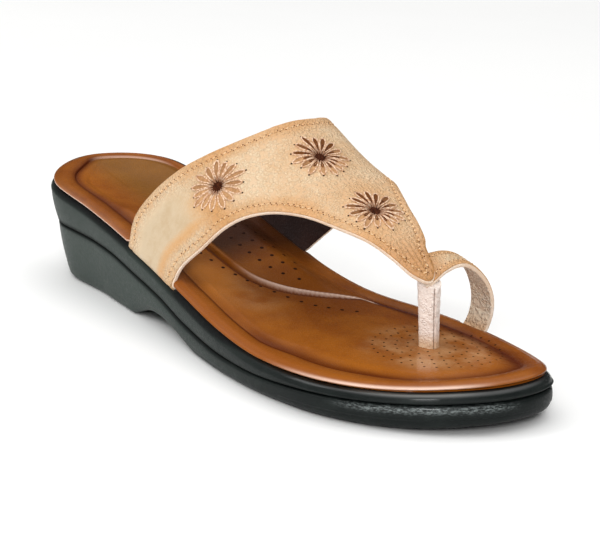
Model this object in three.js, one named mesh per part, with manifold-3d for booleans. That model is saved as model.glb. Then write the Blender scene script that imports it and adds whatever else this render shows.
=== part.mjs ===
// Toe-ring thong sandal for the right foot: moulded wedge sole, padded insole, T-strap upper and toe post.
// Millimetres. +X points to the toe, +Y to the inner side of the foot, +Z up, the ground is z = 0.

import * as THREE from 'three';
import Module from 'manifold-3d';

// Driving dimensions of the sole
const HEEL_X = -123;
const TOE_X = 124;
const MIDDLE_X = 1.3;
const GROOVE_DEPTH = 1.5;
const WALL_BULGE = 0.5;
const LIP = 0.7;
const BULGE_HEIGHT = 0.65;
const SHOULDER_ROUND = 2.6;
const SEAM_GAP = 0.3;
const LEAN_REACH = 34;
const LEAN_FADE_FROM = 6;
const LEAN_FADE_TO = 36;

// Underside: heel breast, low arch in the shank, toe spring
const BREAST_X = -48;
const ARCH_PEAK_X = -26;
const ARCH_END_X = 6;
const ARCH_RISE = 6.4;
const ARCH_EASE = 1.3;
const TOE_SPRING_X = 88;
const TOE_SPRING = 3.2;

// Padded insole: heights are over the sole's edge
const BED_HEIGHT = 3;
const CUP_DEPTH = 3;
const CUP_X = -84;
const CUP_REACH_X = 36;
const CUP_REACH_Y = 26;
const PAD_STEP = 1.2;
const RIDGE_STEP_WIDTH = 1.4;
const RIDGE_STEP_SHARE = 0.16;
const RIDGE_MARGIN = 0.2;
const PAD_RISE = 3.4;
const PAD_REACH = 32;

// Leather upper: the wall, and how its ends tuck in between insole and midsole
const WALL = 2;
const STRAP_SEAT_INSET = 0.2;
const STRAP_SEAT_RISE = 1.2;
const TUCK_RADIUS = 2.8;
const TUCK_LEAN = 0.2;
const TUCK_LENGTH = 9;
const STRAP_BASE_WIDTH = 25;
const LOOP_WIDTH = 10;
const LOOP_END = 0.985;

// The instep's sections are superellipses that lean to the inner side
const SIDE_POWER = 2.72;
const CROWN_POWER = 1.71;
const INSTEP_LEAN = 14;

// Toe post
const POST_X = 79.6;
const POST_Y = 8.6;
const POST_FOOT_Y = 10.4;
const POST_LENGTHWISE = 6.2;
const POST_CROSSWISE = 7.6;
const POST_FLARE = 1.2;
const POST_TOP = 40.5;
const POST_TOP_SLOPE = -0.5;
const POST_FOOT = 14;
const SLOT_CLEARANCE = 0.3;

// How finely the faceted solids are cut
const STATIONS = 38;
const HALF_COLUMNS = 5;
const STRAP_ROWS = 46;
const STRAP_COLUMNS = 12;
const BEND_ROWS = 4;
const LOOP_ROWS = 34;
const LOOP_COLUMNS = 4;
const POST_SIDES = 20;
const POST_RINGS = 6;
const HALVINGS = 40;

// Plan outline of the sole's top edge, from the heel along the outer side to the toe and back
const OUTLINE = [
  { x: -123, y: 1.6 },
  { x: -115.6, y: -16.4 },
  { x: -101.2, y: -27.8 },
  { x: -71, y: -31 },
  { x: -35.7, y: -34 },
  { x: 0, y: -37.9 },
  { x: 29.8, y: -42.5 },
  { x: 54.7, y: -44.4 },
  { x: 78.6, y: -42 },
  { x: 98.6, y: -32.6 },
  { x: 114.8, y: -16.4 },
  { x: 124, y: 6.4 },
  { x: 120.7, y: 26.4 },
  { x: 103.6, y: 37.4 },
  { x: 77, y: 41.9 },
  { x: 51.2, y: 39.6 },
  { x: 19.2, y: 31.4 },
  { x: -15, y: 29.2 },
  { x: -50, y: 30.8 },
  { x: -80.4, y: 31 },
  { x: -103.6, y: 29 },
  { x: -117.6, y: 18.2 },
];

// Side of the sole: top edge, groove line under the band, how far the wall runs in at the ground, how far it
// stands out past the insole, its round at the ground, and how much the edge lies lower on the outer side and
// higher on the inner side
const SOLE_SECTIONS = [
  { x: -123, edge: 41.5, groove: 24, taper: 5.6, proud: 1.3, round: 3.2, drop: 0.6, lift: 0.9 },
  { x: -105, edge: 39.7, groove: 23.8, taper: 8.8, proud: 1.1, round: 3.2, drop: 0.7, lift: 1.6 },
  { x: -85, edge: 37.2, groove: 23.6, taper: 9.6, proud: 0.5, round: 3.2, drop: 0.5, lift: 1.5 },
  { x: -60, edge: 33.3, groove: 22.2, taper: 7.6, proud: 0, round: 2.6, drop: 0.2, lift: 1.1 },
  { x: -40, edge: 29.6, groove: 18.6, taper: 6, proud: 0, round: 2.4, drop: 0.3, lift: 0.8 },
  { x: -20, edge: 25.4, groove: 15, taper: 4.6, proud: 0, round: 2.4, drop: 0.2, lift: 0.5 },
  { x: 0, edge: 20.3, groove: 10, taper: 3.2, proud: 0, round: 2.4, drop: -0.1, lift: 0.4 },
  { x: 25, edge: 16.1, groove: 7.5, taper: 2.2, proud: 0, round: 2.8, drop: 0, lift: 0.3 },
  { x: 50, edge: 14.3, groove: 7.7, taper: 2.2, proud: 0, round: 3.6, drop: 0.9, lift: 0.3 },
  { x: 75, edge: 13.6, groove: 9, taper: 3, proud: 0.3, round: 4.2, drop: 0.6, lift: -0.2 },
  { x: 100, edge: 13.6, groove: 9.8, taper: 2.6, proud: 0.9, round: 4.2, drop: 0.2, lift: -0.5 },
  { x: 124, edge: 15.2, groove: 11.3, taper: -0.6, proud: 2, round: 3.4, drop: 0, lift: 0.1 },
];

// Rolled rim of the insole from its undercut to the border groove: inset from the sole's outline, and rise
// over the sole's edge
const RIM_PROFILE = [
  { inset: 1.5, rise: 0.66 },
  { inset: 0.5, rise: 1.1 },
  { inset: 0.3, rise: 1.58 },
  { inset: 1, rise: 2.11 },
  { inset: 2.3, rise: 2.4 },
  { inset: 4.1, rise: 2.8 },
  { inset: 7, rise: 2.4 },
  { inset: 8.7, rise: 1.7 },
];

// A quarter round in shares of its radius: away from the flat face, and in from the wall
const QUARTER_ROUND = [
  { away: 0, inset: 1 },
  { away: 0.1, inset: 0.56 },
  { away: 0.42, inset: 0.16 },
  { away: 1, inset: 0 },
];

// Outer edge of the raised arch pad, and how much of the pad's height is there
const PAD_SECTIONS = [
  { x: -123, ridge: 0, height: 0 },
  { x: -78, ridge: -2, height: 0 },
  { x: -60, ridge: -5, height: 0.6 },
  { x: -38, ridge: -8, height: 1 },
  { x: -18, ridge: -8.8, height: 1 },
  { x: -6, ridge: -8.2, height: 1 },
  { x: 4, ridge: -6.4, height: 1 },
  { x: 13, ridge: -1.2, height: 0.95 },
  { x: 20, ridge: 6.2, height: 0.8 },
  { x: 26, ridge: 14.6, height: 0.5 },
  { x: 31, ridge: 22, height: 0 },
  { x: 60, ridge: 6, height: 0 },
  { x: 124, ridge: 6, height: 0 },
];

// Height of the instep above the sole's edge
const INSTEP_SECTIONS = [
  { x: -60, crown: 71.5 },
  { x: -40, crown: 71 },
  { x: -20, crown: 68.8 },
  { x: 5, crown: 63.4 },
  { x: 30, crown: 53.6 },
  { x: 55, crown: 44.4 },
  { x: 70, crown: 37.4 },
  { x: 90, crown: 23 },
];

// Ribs of the T-strap from its rear edge to its front edge. A share counts round the instep's section,
// from 0 at the outer edge of the sole to 1 at the inner edge.
const STRAP_RIBS = [
  { rearShare: 0, rearX: -40.4, frontShare: 0, frontX: -8.4 },
  { rearShare: 0.06, rearX: -40.3, frontShare: 0.05, frontX: -5.6 },
  { rearShare: 0.12, rearX: -33, frontShare: 0.113, frontX: 3.3 },
  { rearShare: 0.18, rearX: -23, frontShare: 0.175, frontX: 11.2 },
  { rearShare: 0.24, rearX: -12.5, frontShare: 0.23, frontX: 19.5 },
  { rearShare: 0.3, rearX: -3.6, frontShare: 0.287, frontX: 30 },
  { rearShare: 0.35, rearX: 2, frontShare: 0.332, frontX: 41.2 },
  { rearShare: 0.39, rearX: 5, frontShare: 0.366, frontX: 53 },
  { rearShare: 0.42, rearX: 6.3, frontShare: 0.397, frontX: 63.5 },
  { rearShare: 0.44, rearX: 7, frontShare: 0.417, frontX: 73 },
  { rearShare: 0.455, rearX: 7.3, frontShare: 0.432, frontX: 80.5 },
  { rearShare: 0.47, rearX: 7.5, frontShare: 0.459, frontX: 84 },
  { rearShare: 0.485, rearX: 7.6, frontShare: 0.486, frontX: 80.5 },
  { rearShare: 0.505, rearX: 7.7, frontShare: 0.498, frontX: 73 },
  { rearShare: 0.53, rearX: 7.6, frontShare: 0.514, frontX: 63.5 },
  { rearShare: 0.56, rearX: 7, frontShare: 0.535, frontX: 54 },
  { rearShare: 0.6, rearX: 5, frontShare: 0.572, frontX: 44.5 },
  { rearShare: 0.65, rearX: 0, frontShare: 0.63, frontX: 36.5 },
  { rearShare: 0.7, rearX: -7, frontShare: 0.695, frontX: 28.6 },
  { rearShare: 0.76, rearX: -15.6, frontShare: 0.76, frontX: 20.5 },
  { rearShare: 0.82, rearX: -24, frontShare: 0.825, frontX: 11.6 },
  { rearShare: 0.88, rearX: -31, frontShare: 0.89, frontX: 2.4 },
  { rearShare: 0.94, rearX: -35.6, frontShare: 0.95, frontX: -6.5 },
  { rearShare: 1, rearX: -38, frontShare: 1, frontX: -13 },
];

// Ribs of the big-toe ring, from under the strap's tip over the toe and down to its tucked end
const LOOP_RIBS = [
  { frontX: 82.6, frontY: 5, frontZ: 40.6, rearX: 73, rearY: 5, rearZ: 46.3 },
  { frontX: 82.2, frontY: 10, frontZ: 41.6, rearX: 72.6, rearY: 10, rearZ: 46.6 },
  { frontX: 81.3, frontY: 15, frontZ: 42.9, rearX: 72, rearY: 15.5, rearZ: 46.8 },
  { frontX: 80.4, frontY: 20.3, frontZ: 43.8, rearX: 71.3, rearY: 21.3, rearZ: 46.4 },
  { frontX: 79.6, frontY: 25.8, frontZ: 43.2, rearX: 70.5, rearY: 27.2, rearZ: 44.6 },
  { frontX: 78.7, frontY: 31.6, frontZ: 40.2, rearX: 69.3, rearY: 33.2, rearZ: 40.9 },
  { frontX: 77.6, frontY: 37.8, frontZ: 34.8, rearX: 67.5, rearY: 38.7, rearZ: 35 },
  { frontX: 76.4, frontY: 42, frontZ: 28.5, rearX: 66, rearY: 42.3, rearZ: 28.5 },
  { frontX: 75.4, frontY: 43.4, frontZ: 22.5, rearX: 65, rearY: 43.6, rearZ: 22.5 },
  { frontX: 74.6, frontY: 42.6, frontZ: 17, rearX: 64.3, rearY: 42.5, rearZ: 17 },
  { frontX: 74.2, frontY: 40.4, frontZ: 14, rearX: 64, rearY: 40.1, rearZ: 14.1 },
  { frontX: 74, frontY: 36.5, frontZ: 13.1, rearX: 64, rearY: 36.2, rearZ: 13.4 },
  { frontX: 74, frontY: 31, frontZ: 13.1, rearX: 64, rearY: 31, rearZ: 13.4 },
];

const FINISHES = {
  rubber: { color: 0x23292a, roughness: 0.55, metalness: 0 },
  band: { color: 0x2b3231, roughness: 0.5, metalness: 0 },
  footbed: { color: 0x9a5a26, roughness: 0.35, metalness: 0 },
  strap: { color: 0xd9b384, roughness: 0.6, metalness: 0 },
  lining: { color: 0xe3cdbb, roughness: 0.65, metalness: 0 },
};

const wasm = await Module();
wasm.setup();

// Smooth curve through a table's rows, level beyond its ends
function through(rows, key, along = 'x') {
  const slope = rows.map((row, i) => {
    const before = rows[Math.max(i - 1, 0)];
    const after = rows[Math.min(i + 1, rows.length - 1)];
    return (after[key] - before[key]) / (after[along] - before[along]);
  });
  return (at) => {
    if (at <= rows[0][along]) return rows[0][key];
    const last = rows.length - 1;
    if (at >= rows[last][along]) return rows[last][key];
    let i = 0;
    while (rows[i + 1][along] < at) i += 1;
    const span = rows[i + 1][along] - rows[i][along];
    const t = (at - rows[i][along]) / span;
    const rise = rows[i + 1][key] - rows[i][key];
    const bendIn = slope[i] * span - rise;
    const bendOut = rise - slope[i + 1] * span;
    return rows[i][key] + rise * t + t * (1 - t) * (bendIn * (1 - t) + bendOut * t);
  };
}

// Every column of a table of ribs as one smooth function of the rib's number
function ribsThrough(rows) {
  const numbered = rows.map((row, number) => ({ ...row, number }));
  const columns = Object.keys(rows[0]).map((key) => [key, through(numbered, key, 'number')]);
  return (number) => Object.fromEntries(columns.map(([key, curve]) => [key, curve(number)]));
}

const edgeAt = through(SOLE_SECTIONS, 'edge');
const grooveAt = through(SOLE_SECTIONS, 'groove');
const taperAt = through(SOLE_SECTIONS, 'taper');
const proudAt = through(SOLE_SECTIONS, 'proud');
const roundAt = through(SOLE_SECTIONS, 'round');
const dropAt = through(SOLE_SECTIONS, 'drop');
const liftAt = through(SOLE_SECTIONS, 'lift');
const ridgeAt = through(PAD_SECTIONS, 'ridge');
const padHeightAt = through(PAD_SECTIONS, 'height');
const crownAt = through(INSTEP_SECTIONS, 'crown');
const strapRib = ribsThrough(STRAP_RIBS);
const loopRib = ribsThrough(LOOP_RIBS);

const mix = THREE.MathUtils.lerp;
const smooth = THREE.MathUtils.smoothstep;

// Evenly spread values from one end to the other
function steps(count, from = 0, to = 1) {
  return Array.from({ length: count + 1 }, (_, i) => mix(from, to, i / count));
}

// The outline's two sides, sampled at stations that crowd towards heel and toe
const outlineCurve = new THREE.CatmullRomCurve3(
  OUTLINE.map((p) => new THREE.Vector3(p.x, p.y, 0)),
  true,
  'centripetal',
);
const toeTurn = OUTLINE.findIndex((p) => p.x === TOE_X) / OUTLINE.length;

// The turn between heel and toe at which one side of the outline reaches x
function turnAt(x, heelTurn) {
  let low = heelTurn;
  let high = toeTurn;
  for (let step = 0; step < HALVINGS; step += 1) {
    const middle = (low + high) / 2;
    if (outlineCurve.getPoint(middle).x < x) low = middle;
    else high = middle;
  }
  return (low + high) / 2;
}

function stationX(station) {
  return mix(HEEL_X, TOE_X, (1 - Math.cos((Math.PI * station) / STATIONS)) / 2);
}

// Where each ring point lies on the outline: heel, outer side, toe, inner side
const ringTurns = [];
for (let i = 0; i <= STATIONS; i += 1) {
  if (i === 0) ringTurns.push(0);
  else if (i === STATIONS) ringTurns.push(toeTurn);
  else ringTurns.push(turnAt(stationX(i), 0));
}
for (let i = STATIONS - 1; i > 0; i -= 1) {
  ringTurns.push(turnAt(stationX(i), 1));
}

const ringBase = ringTurns.map((turn) => {
  const point = outlineCurve.getPoint(turn);
  const tangent = outlineCurve.getTangent(turn);
  return { point, inward: new THREE.Vector3(-tangent.y, tangent.x, 0) };
});

// A ring round the sole. The side gives inset and height for each place along the sole.
function ring(side) {
  return ringBase.map(({ point, inward }) => {
    const { inset, z } = side(point.x);
    return new THREE.Vector3(point.x, point.y, z).addScaledVector(inward, inset);
  });
}

// Both sides of the outline at x, for the straps that stand on its edge
function sidesAt(x) {
  const outer = outlineCurve.getPoint(turnAt(x, 0)).y;
  const inner = outlineCurve.getPoint(turnAt(x, 1)).y;
  return { outer, inner };
}

// The sole's edge leans: lower on the outer side, higher on the inner side. The ground and the top of the
// instep keep their height.
function leaned(point) {
  const edge = edgeAt(point.x);
  const aside = smooth(Math.abs(point.y), 0, LEAN_REACH);
  const above = smooth(point.z, edge + LEAN_FADE_FROM, edge + LEAN_FADE_TO);
  const fade = Math.min(1, point.z / edge) * (1 - above);
  const shift = point.y < 0 ? -dropAt(point.x) : liftAt(point.x);
  return point.z + shift * aside * fade;
}

// Points and triangles of one closed skin, about an origin under the middle of the sandal
class Skin {
  constructor() {
    this.points = [];
    this.triangles = [];
  }

  add(point) {
    this.points.push(point);
    return this.points.length - 1;
  }

  quad(a, b, c, d) {
    this.triangles.push([a, b, c], [a, c, d]);
  }

  geometry() {
    const shape = new THREE.BufferGeometry();
    const flat = this.points.flatMap((p) => [p.x - MIDDLE_X, p.y, leaned(p)]);
    shape.setAttribute('position', new THREE.Float32BufferAttribute(flat, 3));
    shape.setIndex(this.triangles.flat());
    return shape;
  }
}

// Shares of the way across at which a row has points: they crowd to a low step along the pad's ridge
function acrossShares(from, to) {
  const ridge = ridgeAt((from.x + to.x) / 2);
  const width = to.y - from.y;
  const split = THREE.MathUtils.clamp((ridge - from.y) / width, RIDGE_MARGIN, 1 - RIDGE_MARGIN);
  const halfStep = Math.min(RIDGE_STEP_SHARE, RIDGE_STEP_WIDTH / width) / 2;
  const outerHalf = steps(HALF_COLUMNS, 0, split - halfStep).slice(1);
  const innerHalf = steps(HALF_COLUMNS, split + halfStep, 1).slice(0, -1);
  return [...outerHalf, ...innerHalf];
}

// Closes a ring with rows that run across the sole. The height gives z from x and y. Without it the rows
// are straight.
function closeAcross(skin, ringIndex, height, facesUp) {
  const face = (a, b, c) => skin.triangles.push(facesUp ? [a, b, c] : [a, c, b]);
  const rows = [];
  for (let i = 1; i < STATIONS; i += 1) {
    const outer = ringIndex[i];
    const inner = ringIndex[ringIndex.length - i];
    const from = skin.points[outer];
    const to = skin.points[inner];
    const between = height ? acrossShares(from, to) : [];
    const middle = between.map((share) => {
      const place = from.clone().lerp(to, share);
      place.z = height(place.x, place.y);
      return skin.add(place);
    });
    rows.push([outer, ...middle, inner]);
  }
  const heel = ringIndex[0];
  const toe = ringIndex[STATIONS];
  const last = rows[rows.length - 1];
  for (let c = 0; c + 1 < rows[0].length; c += 1) {
    face(heel, rows[0][c], rows[0][c + 1]);
    face(toe, last[c + 1], last[c]);
  }
  for (let r = 0; r + 1 < rows.length; r += 1) {
    for (let c = 0; c + 1 < rows[r].length; c += 1) {
      face(rows[r][c], rows[r + 1][c], rows[r + 1][c + 1]);
      face(rows[r][c], rows[r + 1][c + 1], rows[r][c + 1]);
    }
  }
}

// A solid from rings, lowest first, closed below and above
function ringSolid(sides, bottom, top) {
  const skin = new Skin();
  const rings = sides.map((side) => ring(side).map((point) => skin.add(point)));
  for (let r = 0; r + 1 < rings.length; r += 1) {
    for (let i = 0; i < ringBase.length; i += 1) {
      const next = (i + 1) % ringBase.length;
      skin.quad(rings[r][i], rings[r][next], rings[r + 1][next], rings[r + 1][i]);
    }
  }
  closeAcross(skin, rings[0], bottom, false);
  closeAcross(skin, rings[rings.length - 1], top, true);
  return skin.geometry();
}

// Height of the underside over the ground
function underAt(x) {
  if (x > BREAST_X && x <= ARCH_PEAK_X) {
    return ARCH_RISE * Math.sin(((x - BREAST_X) / (ARCH_PEAK_X - BREAST_X)) * (Math.PI / 2));
  }
  if (x > ARCH_PEAK_X && x < ARCH_END_X) {
    return ARCH_RISE * Math.sin(((ARCH_END_X - x) / (ARCH_END_X - ARCH_PEAK_X)) * (Math.PI / 2)) ** ARCH_EASE;
  }
  if (x > TOE_SPRING_X) {
    return TOE_SPRING * ((x - TOE_SPRING_X) / (TOE_X - TOE_SPRING_X)) ** 2;
  }
  return 0;
}

// The wall leans in towards the ground
function leanIn(x, z) {
  return taperAt(x) * (1 - z / edgeAt(x)) - proudAt(x);
}

function outsole() {
  const top = (x) => grooveAt(x) - SEAM_GAP / 2;
  const wall = (x, z, inset) => ({ z, inset: leanIn(x, z) + inset });
  const rounded = (away, inset) => (x) => wall(x, underAt(x) + roundAt(x) * away, roundAt(x) * inset);
  return ringSolid(
    [
      ...QUARTER_ROUND.map(({ away, inset }) => rounded(away, inset)),
      (x) => wall(x, mix(underAt(x), top(x), BULGE_HEIGHT), -WALL_BULGE),
      (x) => wall(x, top(x) - LIP, -WALL_BULGE / 2),
      (x) => wall(x, top(x), GROOVE_DEPTH),
    ],
    null,
    null,
  );
}

// How far the footbed is sunk by the heel cup
function bedDrop(x, y) {
  const lengthwise = (x - CUP_X) / CUP_REACH_X;
  const crosswise = y / CUP_REACH_Y;
  const cup = 1 - Math.min(1, lengthwise * lengthwise + crosswise * crosswise);
  return CUP_DEPTH * smooth(cup, 0, 1);
}

function midsole() {
  const low = (x) => grooveAt(x) + SEAM_GAP / 2;
  const wall = (x, z, inset) => ({ z, inset: leanIn(x, z) + inset });
  const shoulder = (away, inset) => (x) => ({
    z: edgeAt(x) - SHOULDER_ROUND * away,
    inset: SHOULDER_ROUND * inset - proudAt(x),
  });
  return ringSolid(
    [
      (x) => wall(x, low(x), GROOVE_DEPTH),
      (x) => wall(x, low(x) + LIP, 0),
      (x) => wall(x, mix(low(x), edgeAt(x) - SHOULDER_ROUND, BULGE_HEIGHT), -WALL_BULGE),
      ...QUARTER_ROUND.map(({ away, inset }) => shoulder(away, inset)).reverse(),
    ],
    null,
    (x, y) => edgeAt(x) - bedDrop(x, y),
  );
}

// Arch pad: a crisp low step along its ridge, then a rise to the inner rim
function padAt(x, y) {
  const beyond = y - ridgeAt(x);
  if (beyond <= 0) return 0;
  return padHeightAt(x) * (PAD_STEP + PAD_RISE * smooth(beyond, 0, PAD_REACH));
}

function insoleTop(x, y) {
  return edgeAt(x) + BED_HEIGHT - bedDrop(x, y) + padAt(x, y);
}

function insole() {
  const rings = [
    (x) => ({ z: edgeAt(x) + SEAM_GAP, inset: SHOULDER_ROUND - proudAt(x) }),
    ...RIM_PROFILE.map(({ inset, rise }) => (x) => ({ z: edgeAt(x) + rise, inset })),
  ];
  const base = (x, y) => edgeAt(x) - bedDrop(x, y) + SEAM_GAP;
  return ringSolid(rings, base, insoleTop);
}

// A place on the instep over the sole, at x and at a share of the way round its section
function instepPlace(x, share) {
  const { outer, inner } = sidesAt(x);
  const turn = Math.PI * THREE.MathUtils.clamp(share, 0, 1);
  const across = Math.cos(turn);
  const flat = -Math.sign(across) * Math.abs(across) ** (2 / SIDE_POWER);
  const rise = Math.abs(Math.sin(turn)) ** (2 / CROWN_POWER);
  const halfWidth = (inner - outer) / 2 - STRAP_SEAT_INSET;
  return new THREE.Vector3(
    x,
    (inner + outer) / 2 + INSTEP_LEAN * rise + halfWidth * flat,
    edgeAt(x) + STRAP_SEAT_RISE + crownAt(x) * rise,
  );
}

// The tucked end below the instep: a round bend that starts along the leaning instep, then a flat run
function tuckPlace(x, length, side) {
  const start = side * TUCK_LEAN;
  const bend = Math.min(length / TUCK_RADIUS + start, Math.PI / 2);
  const run = Math.max(0, length - bendLength(side));
  const place = instepPlace(x, side < 0 ? 0 : 1);
  place.y -= side * (TUCK_RADIUS * (Math.cos(start) - Math.cos(bend)) + run);
  place.z -= TUCK_RADIUS * (Math.sin(bend) - Math.sin(start));
  return place;
}

function bendLength(side) {
  return TUCK_RADIUS * (Math.PI / 2 - side * TUCK_LEAN);
}

// Outer face of the T-strap: rows run from the outer tuck over the instep to the inner tuck. A row from
// 0 to 1 is on the instep, and beyond that it counts the millimetres along the tuck.
function strapPlace(row, column) {
  const rib = strapRib(row * (STRAP_RIBS.length - 1));
  const x = mix(rib.rearX, rib.frontX, column);
  if (row < 0) return tuckPlace(x, -row, -1);
  if (row > 1) return tuckPlace(x, row - 1, 1);
  return instepPlace(x, mix(rib.rearShare, rib.frontShare, column));
}

// A closed wall between two offsets from a surface of rows and columns
function wallSolid(place, rowSteps, columnSteps, outside, inside) {
  const skin = new Skin();
  const nudge = 1e-3;
  const layer = (offset) => rowSteps.map((row) => columnSteps.map((column) => {
    const centre = place(row, column);
    const lengthwise = place(row, column + nudge).sub(place(row, column - nudge));
    const crosswise = place(row + nudge, column).sub(place(row - nudge, column));
    const normal = lengthwise.cross(crosswise).normalize();
    return skin.add(centre.addScaledVector(normal, offset));
  }));
  const top = layer(outside);
  const under = layer(-inside);
  const lastRow = rowSteps.length - 1;
  const lastColumn = columnSteps.length - 1;
  for (let r = 0; r < lastRow; r += 1) {
    for (let c = 0; c < lastColumn; c += 1) {
      skin.quad(top[r][c], top[r][c + 1], top[r + 1][c + 1], top[r + 1][c]);
      skin.quad(under[r][c], under[r + 1][c], under[r + 1][c + 1], under[r][c + 1]);
    }
    skin.quad(top[r][0], top[r + 1][0], under[r + 1][0], under[r][0]);
    skin.quad(top[r][lastColumn], under[r][lastColumn], under[r + 1][lastColumn], top[r + 1][lastColumn]);
  }
  for (let c = 0; c < lastColumn; c += 1) {
    skin.quad(top[0][c], under[0][c], under[0][c + 1], top[0][c + 1]);
    skin.quad(top[lastRow][c], top[lastRow][c + 1], under[lastRow][c + 1], under[lastRow][c]);
  }
  return skin.geometry();
}

// The strap's wall. Grown, it is the space that the strap takes in the sole.
function strapSolid(grow) {
  const tuck = (side) => {
    const bend = steps(BEND_ROWS, 0, bendLength(side)).slice(1);
    return [...bend, bendLength(side) + TUCK_LENGTH + grow];
  };
  const rows = [
    ...tuck(-1).map((length) => -length).reverse(),
    ...steps(STRAP_ROWS),
    ...tuck(1).map((length) => 1 + length),
  ];
  const spread = grow / STRAP_BASE_WIDTH;
  const columns = steps(STRAP_COLUMNS);
  columns[0] -= spread;
  columns[STRAP_COLUMNS] += spread;
  return wallSolid(strapPlace, rows, columns, grow, WALL + grow);
}

// Middle of the big-toe ring's wall
function loopPlace(row, column) {
  const rib = loopRib(row * (LOOP_RIBS.length - 1));
  const front = new THREE.Vector3(rib.frontX, rib.frontY, rib.frontZ);
  const rear = new THREE.Vector3(rib.rearX, rib.rearY, rib.rearZ);
  return rear.lerp(front, column);
}

function loopSolid(grow) {
  const rows = steps(LOOP_ROWS, 0, LOOP_END);
  if (grow > 0) rows.push(1);
  const spread = grow / LOOP_WIDTH;
  const columns = steps(LOOP_COLUMNS, -spread, 1 + spread);
  return wallSolid(loopPlace, rows, columns, WALL / 2 + grow, WALL / 2 + grow);
}

// A closed geometry as a solid that can be joined and cut
function solid(geometry) {
  const vertProperties = new Float32Array(geometry.getAttribute('position').array);
  const triVerts = new Uint32Array(geometry.getIndex().array);
  return new wasm.Manifold(new wasm.Mesh({ numProp: 3, vertProperties, triVerts }));
}

function geometryOf(body) {
  const { vertProperties, triVerts } = body.getMesh();
  const geometry = new THREE.BufferGeometry();
  geometry.setAttribute('position', new THREE.BufferAttribute(vertProperties, 3));
  geometry.setIndex(new THREE.BufferAttribute(triVerts, 1));
  return geometry;
}

// The post is a rolled strip: an oval that flares to the top and ends on the slope of the strap's tip
function postSolid(grow, low, high) {
  const skin = new Skin();
  const rings = steps(POST_RINGS).map((share) => Array.from({ length: POST_SIDES }, (_, i) => {
    const turn = (2 * Math.PI * i) / POST_SIDES;
    const flare = mix(1, POST_FLARE, share * share);
    const x = POST_X + (POST_LENGTHWISE / 2 * flare + grow) * Math.cos(turn);
    const y = mix(POST_FOOT_Y, POST_Y, share) + (POST_CROSSWISE / 2 * flare + grow) * Math.sin(turn);
    return skin.add(new THREE.Vector3(x, y, mix(low(x), high(x), share)));
  }));
  const foot = skin.add(new THREE.Vector3(POST_X, POST_FOOT_Y, low(POST_X)));
  const head = skin.add(new THREE.Vector3(POST_X, POST_Y, high(POST_X)));
  const last = rings.length - 1;
  for (let i = 0; i < POST_SIDES; i += 1) {
    const next = (i + 1) % POST_SIDES;
    for (let r = 0; r < last; r += 1) {
      skin.quad(rings[r][i], rings[r][next], rings[r + 1][next], rings[r + 1][i]);
    }
    skin.triangles.push([foot, rings[0][next], rings[0][i]], [head, rings[last][i], rings[last][next]]);
  }
  return skin.geometry();
}

const postTop = (x) => POST_TOP + POST_TOP_SLOPE * (x - POST_X);
const strapSpace = solid(strapSolid(SEAM_GAP));
const loopSpace = solid(loopSolid(SEAM_GAP));
const upperSpace = strapSpace.add(loopSpace);
const slot = solid(postSolid(SLOT_CLEARANCE, () => POST_FOOT - WALL, postTop));
const upperBody = solid(strapSolid(0)).add(solid(loopSolid(0)));

const sandal = new THREE.Group();

function addPart(name, geometry, finish) {
  geometry.computeVertexNormals();
  const mesh = new THREE.Mesh(geometry, new THREE.MeshStandardMaterial(finish));
  mesh.name = name;
  sandal.add(mesh);
}

addPart('outsole', outsole(), FINISHES.rubber);
addPart('midsole', geometryOf(solid(midsole()).subtract(upperSpace)), FINISHES.band);
addPart('insole', geometryOf(solid(insole()).subtract(upperSpace).subtract(slot)), FINISHES.footbed);
addPart('upper', geometryOf(upperBody), FINISHES.strap);
addPart('toe_post', postSolid(0, () => POST_FOOT, postTop), FINISHES.lining);

export default sandal;
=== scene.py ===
import math

import bpy
import numpy as np
from mathutils import Matrix, Vector
from mathutils.bvhtree import BVHTree
from mathutils.kdtree import KDTree


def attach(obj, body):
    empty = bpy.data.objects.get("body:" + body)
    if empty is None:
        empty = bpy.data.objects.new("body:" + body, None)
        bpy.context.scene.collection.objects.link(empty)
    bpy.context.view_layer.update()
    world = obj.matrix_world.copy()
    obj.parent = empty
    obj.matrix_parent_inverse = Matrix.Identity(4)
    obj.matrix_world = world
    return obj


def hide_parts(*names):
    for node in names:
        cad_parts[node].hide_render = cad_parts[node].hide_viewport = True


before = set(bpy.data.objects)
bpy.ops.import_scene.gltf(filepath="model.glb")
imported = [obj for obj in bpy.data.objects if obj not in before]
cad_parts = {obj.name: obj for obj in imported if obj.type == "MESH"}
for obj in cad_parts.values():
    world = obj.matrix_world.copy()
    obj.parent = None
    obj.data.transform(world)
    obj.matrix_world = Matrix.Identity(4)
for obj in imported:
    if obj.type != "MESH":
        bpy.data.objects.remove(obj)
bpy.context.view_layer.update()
print("frame loaded:", sorted(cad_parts))

mm = 0.001

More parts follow.
